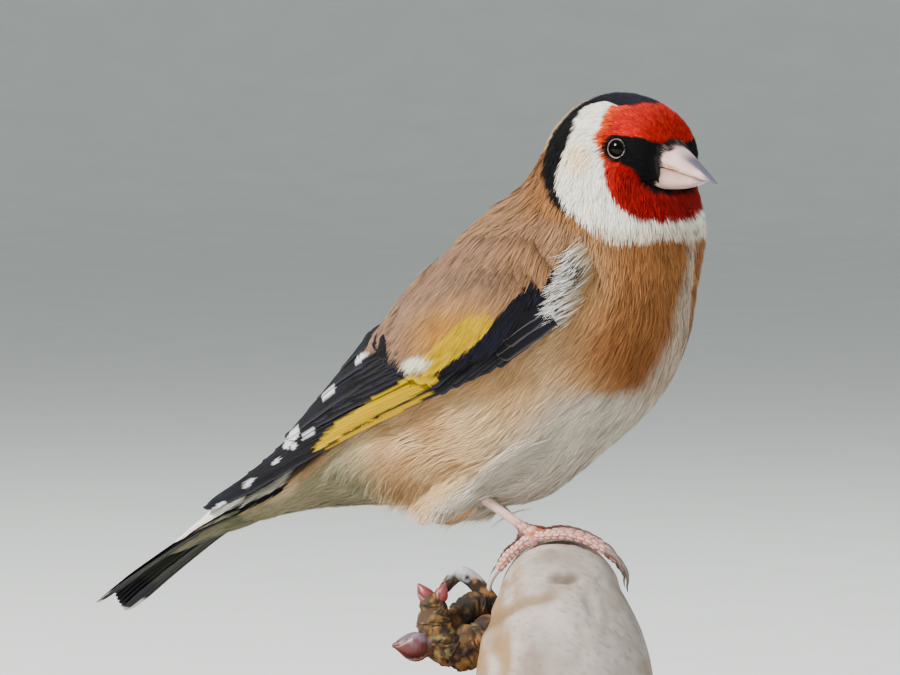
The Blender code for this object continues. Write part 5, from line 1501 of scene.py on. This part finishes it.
def perch():
    rows, columns, rim = 190, 150, 26
    place = np.linspace(0, len(PERCH_LINE) - 1, rows)
    line_at = rows_at(PERCH_LINE, place)
    step = rows_at(PERCH_LINE, np.clip(place + 0.05, 0, 9)) - rows_at(
        PERCH_LINE, np.clip(place - 0.05, 0, 9))
    run = ALONG[None] * step[:, :1] + np.array((0, 0, 1.0)) * step[:, 1:2]
    run /= np.linalg.norm(run, axis=1)[:, None]
    tail = smooth((place - 8.6) / 0.4)[:, None]
    run = run * (1 - tail) + np.array((0, 0, -1.0)) * tail
    run /= np.linalg.norm(run, axis=1)[:, None]
    up = np.cross(ACROSS, run)
    up *= np.sign(up @ (ALONG + (0, 0, 1.0)))[:, None]
    middle = ALONG[None] * line_at[:, :1] + np.array((0, 0, 1.0)) * line_at[:, 1:2]
    angle = np.linspace(0, 2 * np.pi, columns, endpoint=False)
    rings, shares = [], []
    for i in range(rows):
        reach = line_at[i, 2] * (1 + perch_bark(line_at[i, 0], angle))
        rings.append(middle[i] + ACROSS * (reach * np.sin(angle))[:, None]
                     + up[i] * (reach * np.cos(angle))[:, None])
    body = np.array(rings)
    normal = body - middle[:, None]
    normal /= np.linalg.norm(normal, axis=2)[:, :, None]
    flat = body.reshape(-1, 3)
    stretch = flat @ np.stack((ALONG * 0.35, ACROSS, (0, 0, 0.55)), 1)
    lumps, ripple = noise(stretch, 3.6, 61), noise(stretch, 1.3, 62)
    depth = 0.16 * lumps + 0.08 * ripple - 0.2
    # Fine cracks of the dry bark run along the branch.
    grain = noise(flat @ np.stack((ALONG * 0.22, ACROSS * 1.6, (0, 0, 0.9)), 1), 0.9, 63)
    crack = smooth((np.abs(grain) < 0.07) * (0.6 + lumps) * 1.0)
    depth -= 0.05 * crack
    at = seen(flat)
    front = smooth((flat @ ALONG - 1.0) / 3.0)
    hollow = smooth(1.6 - np.hypot((at[:, 0] - 566 + 0.5 * (at[:, 1] - 576)) / 14,
                                   (at[:, 1] - 576) / 5 + 0.5 * ripple)) * front
    groove = np.full(len(flat), 99.0)
    bends = ((458, 646), (470, 634), (499, 613), (527, 600), (548, 595), (572, 585), (588, 592),
             (594, 612))
    for (ax, ay), (bx, by) in zip(bends, bends[1:]):
        run_x, run_y = bx - ax, by - ay
        t = np.clip(((at[:, 0] - ax) * run_x + (at[:, 1] - ay) * run_y) / (run_x**2 + run_y**2), 0, 1)
        groove = np.minimum(groove, np.hypot(at[:, 0] - ax - t * run_x, at[:, 1] - ay - t * run_y))
    groove = smooth(1.25 - groove / 7.0) * front
    depth -= 0.75 * hollow + 0.4 * groove
    body += normal * depth.reshape(rows, columns, 1)
    caps = []
    for end, shrink in ((0, 1), (-1, 1)):
        centre = middle[end] + run[end] * (0.02 if end else -0.02)
        caps.append(np.array([centre + (body[end] - centre) * (1 - (k + 1) / rim) for k in range(rim)]))
    whole = np.vstack((caps[0][::-1].reshape(-1, 3), body.reshape(-1, 3), caps[1].reshape(-1, 3)))
    total = rows + 2 * rim
    faces = grid_faces(total, columns, closed=True)
    flat = body.reshape(-1, 3)
    pale, grey, brown = colour(190, 178, 170), colour(156, 144, 138), colour(126, 98, 70)
    blotch = noise(stretch, 5.0, 64)
    tint = mix(np.broadcast_to(pale, (len(flat), 3)), grey, smooth(0.3 + 0.7 * blotch))
    tint = mix(tint, brown, smooth((noise(stretch, 3.2, 65) - 0.3 - 0.3 * lumps) / 0.5) * 0.4)
    tint = mix(tint, colour(150, 138, 126), smooth((-0.2 - lumps) / 0.5) * 0.5)
    tint = mix(tint, colour(120, 104, 90), crack * 0.35)
    speck = noise(flat, 0.5, 69)
    tint = mix(tint, colour(128, 116, 106), smooth((speck - 0.55) / 0.1) * 0.4)
    side = smooth(((flat @ -ACROSS) - 4.5) / 3.5)
    tint = mix(tint, colour(150, 112, 64), side * smooth(0.45 + noise(stretch, 2.0, 66)) * 0.85)
    # The groove and the hollow are painted darker brown: partly the wood's own staining, partly painted shade in these
    # dents.
    tint = mix(tint, colour(132, 104, 66), groove * 0.8 * smooth((560 - at[:, 0]) / 60 + 0.45))
    tint = mix(tint, colour(92, 72, 44), hollow * (0.75 + 0.25 * noise(stretch, 1.0, 59)))
    streak = smooth(1.4 - np.hypot((at[:, 0] - 499) / 12, (at[:, 1] - 586) / 13)) * front
    tint = mix(tint, colour(150, 112, 70), streak * smooth(0.4 + noise(stretch, 0.6, 60)) * 0.8)
    ring = np.repeat(np.arange(rim), columns) / rim
    cut = []
    for k in range(2):
        grain = np.sin((1 - ring) * 60 + 2.5 * noise(caps[k].reshape(-1, 3), 3.0, 67 + k))
        cut.append(mix(np.broadcast_to(colour(212, 178, 132), (len(ring), 3)), colour(160, 118, 78),
                       smooth(0.5 + 0.6 * grain)))
    first = cut[0].reshape(rim, columns, 3)[::-1].reshape(-1, 3)
    tints = np.vstack((first, tint, cut[1]))
    turn = np.tile(angle / (2 * np.pi), total)
    v = np.repeat(np.linspace(0.01, 0.99, total), columns)
    made = mesh_object("branch", whole, faces, tints, np.stack((turn, v), 1))
    look = tinted("bark", 0.82, 420.0, 0.22, 0.5)
    made.data.materials.append(look)
    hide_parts("perch")
    return made


SPUR = ((6.0, -11.4, -5.0, 3.4), (7.5, -14.0, -7.0, 3.0), (8.6, -17.0, -6.6, 2.7),
        (9.0, -18.6, -3.4, 2.4), (9.0, -18.9, -0.6, 1.7))
TWIG = ((3.6, -10.6, 0.2, 1.3), (3.6, -13.2, 3.2, 1.3), (3.9, -15.4, 4.2, 1.2), (4.6, -17.4, 2.2, 0.9))
BUDS = (("upper", (9.0, -19.6, 0.2), (8.8, -21.4, 2.9), 1.25),
        ("middle", (9.2, -18.4, 0.4), (9.2, -17.4, 3.0), 1.1),
        ("lower", (9.6, -20.2, -6.4), (10.4, -25.0, -6.2), 2.3))


def spur():
    def knobs(share, turn):
        p = np.stack((share * 30, np.cos(turn) * 3, np.sin(turn) * 3), 1)
        return 1 + 0.10 * noise(p, 2.0, 71) + 0.10 * noise(p, 0.8, 72) + 0.05 * noise(p, 0.35, 70)

    def rough(share, turn):
        p = np.stack((share * 22, np.cos(turn) * 2, np.sin(turn) * 2), 1)
        return 0.97 + 0.05 * noise(p, 1.6, 73)

    stem = tube([on_perch(*p[:3]) for p in SPUR], [p[3] for p in SPUR], 90, 48, (0, 0, 1), knobs)
    twig = tube([on_perch(*p[:3]) for p in TWIG], [p[3] for p in TWIG], 70, 30, ALONG, rough)
    root_line = ((4.0, -10.8, -1.0), (4.6, -13.2, -0.6), (5.6, -15.4, -2.6), (7.4, -16.8, -4.6))
    stub = tube([on_perch(*p) for p in root_line], [1.9, 2.2, 2.0, 1.8], 60, 40, ALONG, knobs)
    parts = []
    for made, kind in ((stem, "stem"), (twig, "twig"), (stub, "stub")):
        points = made[0]
        ochre = smooth((noise(points, 1.2, 74) + 0.6 * noise(points, 0.45, 79) + 0.1) / 0.6)
        tint = mix(np.broadcast_to(colour(52, 36, 26), (len(points), 3)), colour(140, 98, 52), ochre)
        lichen = smooth((noise(points, 0.9, 75) - 0.4) / 0.2) * smooth((-1.0 - points[:, 2]) / 2.0)
        tint = mix(tint, colour(128, 126, 74), lichen * 0.6)
        # The stub that fills the gap between stem and twig is darkened to 0.45: dark wood, with painted shade for its
        # place deep between them.
        tint = tint * (0.45 if kind == "stub" else 1.0)
        if kind == "twig":
            # Painted highlight: paler bluish grey on the twig's upper side, where the light from above falls.
            painted_twig_highlight = smooth((points[:, 2] - 3.0 + noise(points, 0.8, 76)) / 1.2)
            tint = mix(tint, colour(206, 206, 212), painted_twig_highlight * 0.9)
        parts.append((made, tint))
    for k, (along, across, height, radius) in enumerate(SPUR[1:]):
        knot = on_perch(along, across - 0.6, height + 0.5)
        made = tube([knot - (0, 0, radius * 0.12), knot + (0, 0, radius * 0.12)],
                    [radius * 1.02, radius * 1.02], 8, 36, ALONG, knobs)
        shade = mix(np.broadcast_to(colour(76, 54, 36), (len(made[0]), 3)), colour(150, 112, 62),
                    smooth((noise(made[0], 0.7, 77 + k) + 0.5 * noise(made[0], 0.3, 78)) / 0.5))
        parts.append((made, shade))
    piece = join_tubes("spur_wood", parts, tinted("spur_bark", 0.86, 600.0, 0.35, 0.6))
    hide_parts("perch_spur")
    made = [piece]
    look = tinted("bud_scales", 0.42, 900.0, 0.2, 0.25, Coat_Weight=0.2, Coat_Roughness=0.3)
    for name, root, tip, radius in BUDS:
        root, tip = on_perch(*root), on_perch(*tip)
        shares = np.linspace(0, 1, 9)
        radii = [radius * math.sin(math.pi * (0.18 + 0.76 * s)) ** 0.8 * (1.15 - 0.45 * s)
                 for s in shares]

        def scales(share, turn):
            saw = (turn * 3 / (2 * np.pi) + 0.9 * share**1.5 + 0.04 * np.sin(share * 9)) % 1.0
            return 0.95 + 0.11 * smooth(saw) - 0.05 * smooth((saw - 0.9) / 0.1)

        bud = tube([root + (tip - root) * s for s in shares], radii, 60, 44,
                   (0.3, 0.2, 1) if abs(tip[2] - root[2]) < 2 else ALONG, scales)
        share, turn, points = bud[2], bud[3], bud[0]
        saw = (turn * 3 / (2 * np.pi) + 0.9 * share**1.5 + 0.04 * np.sin(share * 9)) % 1.0
        red = colour(96, 34, 36) if name == "lower" else colour(138, 50, 56)
        tint = mix(np.broadcast_to(red, (len(share), 3)), colour(64, 30, 30), smooth((0.25 - saw) / 0.2))
        tint = mix(tint, colour(206, 158, 140), smooth((saw - 0.88) / 0.08) * 0.5)
        tint = mix(tint, colour(92, 62, 44), smooth((0.16 - share) / 0.1) * 0.8)
        if name == "lower":
            # Painted highlight: bluish grey on the lower bud's upper part, where the light from above falls.
            top = smooth((points[:, 2] - points[:, 2].mean() + noise(points, 0.9, 81)) / 1.4)
            tint = mix(tint, colour(140, 140, 166), top * 0.45)
        piece = join_tubes("bud_scales_" + name, [(bud, tint)], look)
        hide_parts("bud_" + name)
        made.append(piece)
    return made


# ---- The stand keeps its shape from the solids, with better surfaces ----
def walnut():
    made, nodes, links, shader = material("walnut", None, 0.38, Coat_Weight=0.25, Coat_Roughness=0.2)
    where = nodes.new("ShaderNodeTexCoord")
    mapping = nodes.new("ShaderNodeMapping")
    mapping.inputs["Scale"].default_value = (14.0, 90.0, 60.0)
    mapping.inputs["Rotation"].default_value = (0.06, 0.03, 0.02)
    links.new(where.outputs["Object"], mapping.inputs["Vector"])
    wave = nodes.new("ShaderNodeTexNoise")
    wave.inputs["Scale"].default_value = 1.6
    wave.inputs["Detail"].default_value = 8.0
    wave.inputs["Distortion"].default_value = 1.2
    links.new(mapping.outputs[0], wave.inputs["Vector"])
    grain = add_ramp(nodes, links, wave.outputs["Fac"], (
        (0.25, colour(52, 33, 22)), (0.45, colour(86, 56, 36)), (0.6, colour(104, 70, 44)),
        (0.8, colour(64, 42, 28))))
    pores = add_noise(nodes, links, 900.0, 2.0, (0.12, 1.0, 1.0))
    dark = add_ramp(nodes, links, pores.outputs["Fac"], ((0.36, 0.55), (0.46, 1.0)))
    links.new(add_mix(nodes, links, "MULTIPLY", 1.0, grain.outputs["Color"], dark.outputs["Color"]),
              shader.inputs["Base Color"])
    add_bump(nodes, links, shader, pores.outputs["Fac"], 0.25, 0.0001)
    return made


def brass():
    made, nodes, links, shader = material("brushed_brass", None, 0.3, Metallic=1.0)
    lines = add_noise(nodes, links, 60.0, 4.0, (30.0, 30.0, 1.0))
    tone = add_ramp(nodes, links, lines.outputs["Fac"], (
        (0.3, colour(176, 140, 72)), (0.7, colour(214, 180, 104))))
    links.new(tone.outputs["Color"], shader.inputs["Base Color"])
    rough = add_ramp(nodes, links, lines.outputs["Fac"], ((0.3, 0.22), (0.7, 0.38)))
    links.new(rough.outputs["Color"], shader.inputs["Roughness"])
    add_bump(nodes, links, shader, lines.outputs["Fac"], 0.15, 0.00005)
    return made


def dress(node, look):
    mesh = bpy.data.objects[node].data
    for k in range(max(1, len(mesh.materials))):
        if k < len(mesh.materials):
            mesh.materials[k] = look
        else:
            mesh.materials.append(look)


# ---- Everything together ----
riders = []
hide = skin()
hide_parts("torso", "neck", "head", "thigh_left", "thigh_right")
riders.append(hide)
for piece in body_coat() + flank_coat() + thigh_coat() + tail_coat() + bristles():
    riders.append(piece)
lie = Lie()
for piece, side in zip(wing_vanes(lie), ("right", "left")):
    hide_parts("wing_" + side)
    riders.append(piece)
for piece in wing_coat() + streaks():
    riders.append(piece)
rectrices = tail_vanes()
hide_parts("tail")
riders.append(rectrices)
riders += eyes() + bill() + feet() + [perch()] + spur()
for piece in riders:
    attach(piece, "root")
dress("stand_base", walnut())
for rod in ("stand_rod_front", "stand_rod_back"):
    dress(rod, brass())

# ---- Camera, floor and light ----
back = Vector((math.sin(AZIMUTH) * math.cos(RISE), -math.cos(AZIMUTH) * math.cos(RISE), math.sin(RISE)))
right = Vector((math.cos(AZIMUTH), math.sin(AZIMUTH), 0.0))
above = back.cross(right)
aim = Vector(ORIGIN * 0.001) + right * (-110 / PIXELS * 0.001) + above * (262.5 / PIXELS * 0.001)
lens = bpy.data.cameras.new("camera")
lens.lens, lens.sensor_width = 396.0, 36.0
lens.clip_start, lens.clip_end = 0.01, 20.0
camera = bpy.data.objects.new("camera", lens)
bpy.context.scene.collection.objects.link(camera)
camera.location = aim + back * 1.5
camera.rotation_mode = "QUATERNION"
camera.rotation_quaternion = back.to_track_quat("Z", "Y")
bpy.context.scene.camera = camera


def backdrop():
    """A pale round floor that curves up into a low wall on every side, far behind the camera."""
    rows = [(0.02 + 2.78 * k / 8, 0.0) for k in range(9)]
    for k in range(1, 13):
        turn = k / 12 * math.pi / 2
        rows.append((2.8 + 1.0 * math.sin(turn), 1.0 - 1.0 * math.cos(turn)))
    rows.append((3.8, 2.4))
    columns = 96
    reach = np.repeat([row[0] for row in rows], columns) * 1000
    turn = np.tile(np.linspace(0, 2 * np.pi, columns, endpoint=False), len(rows))
    points = np.stack((reach * np.cos(turn), reach * np.sin(turn),
                       np.repeat([row[1] for row in rows], columns) * 1000), 1)
    centre = np.array(((0.0, 0.0, 0.0),))
    faces = grid_faces(len(rows), columns, closed=True)
    hub = [(len(points), k, (k + 1) % columns, (k + 1) % columns) for k in range(columns)]
    made = mesh_object("studio_floor", np.vstack((points, centre)) - ORIGIN,
                       np.vstack((faces[:, :3], faces[:, (0, 2, 3)], np.array(hub)[:, :3])))
    look, nodes, links, shader = material("floor_paper", None, 0.9)
    speck = add_noise(nodes, links, 40.0)
    tone = add_ramp(nodes, links, speck.outputs["Fac"], ((0.3, colour(226, 231, 227)),
                                                         (0.7, colour(231, 235, 231))))
    links.new(tone.outputs["Color"], shader.inputs["Base Color"])
    made.data.materials.append(look)


def lamp(name, place, size, watts, tint=(1.0, 1.0, 1.0)):
    """An area light at a place to the camera's right, towards the camera, and up, in metres."""
    data = bpy.data.lights.new(name, "AREA")
    data.size, data.energy, data.color = size, watts, tint
    made = bpy.data.objects.new(name, data)
    bpy.context.scene.collection.objects.link(made)
    toward = Vector((back.x, back.y, 0)).normalized()
    made.location = aim + right * place[0] + toward * place[1] + Vector((0, 0, place[2]))
    made.rotation_mode = "QUATERNION"
    made.rotation_quaternion = (made.location - aim).to_track_quat("Z", "Y")


backdrop()
lamp("key_light", (-0.6, 0.42, 0.6), 0.26, 21.0, (1.0, 0.965, 0.91))
lamp("fill_light", (0.7, 0.8, 0.3), 0.9, 3.2, (0.93, 0.97, 1.0))
lamp("top_light", (-0.1, -0.5, 0.8), 0.6, 6.0, (0.97, 0.99, 1.0))
world = bpy.data.worlds.new("studio")
world.use_nodes = True
world.node_tree.nodes["Background"].inputs["Color"].default_value = (0.86, 0.9, 0.93, 1.0)
world.node_tree.nodes["Background"].inputs["Strength"].default_value = 0.5
bpy.context.scene.world = world
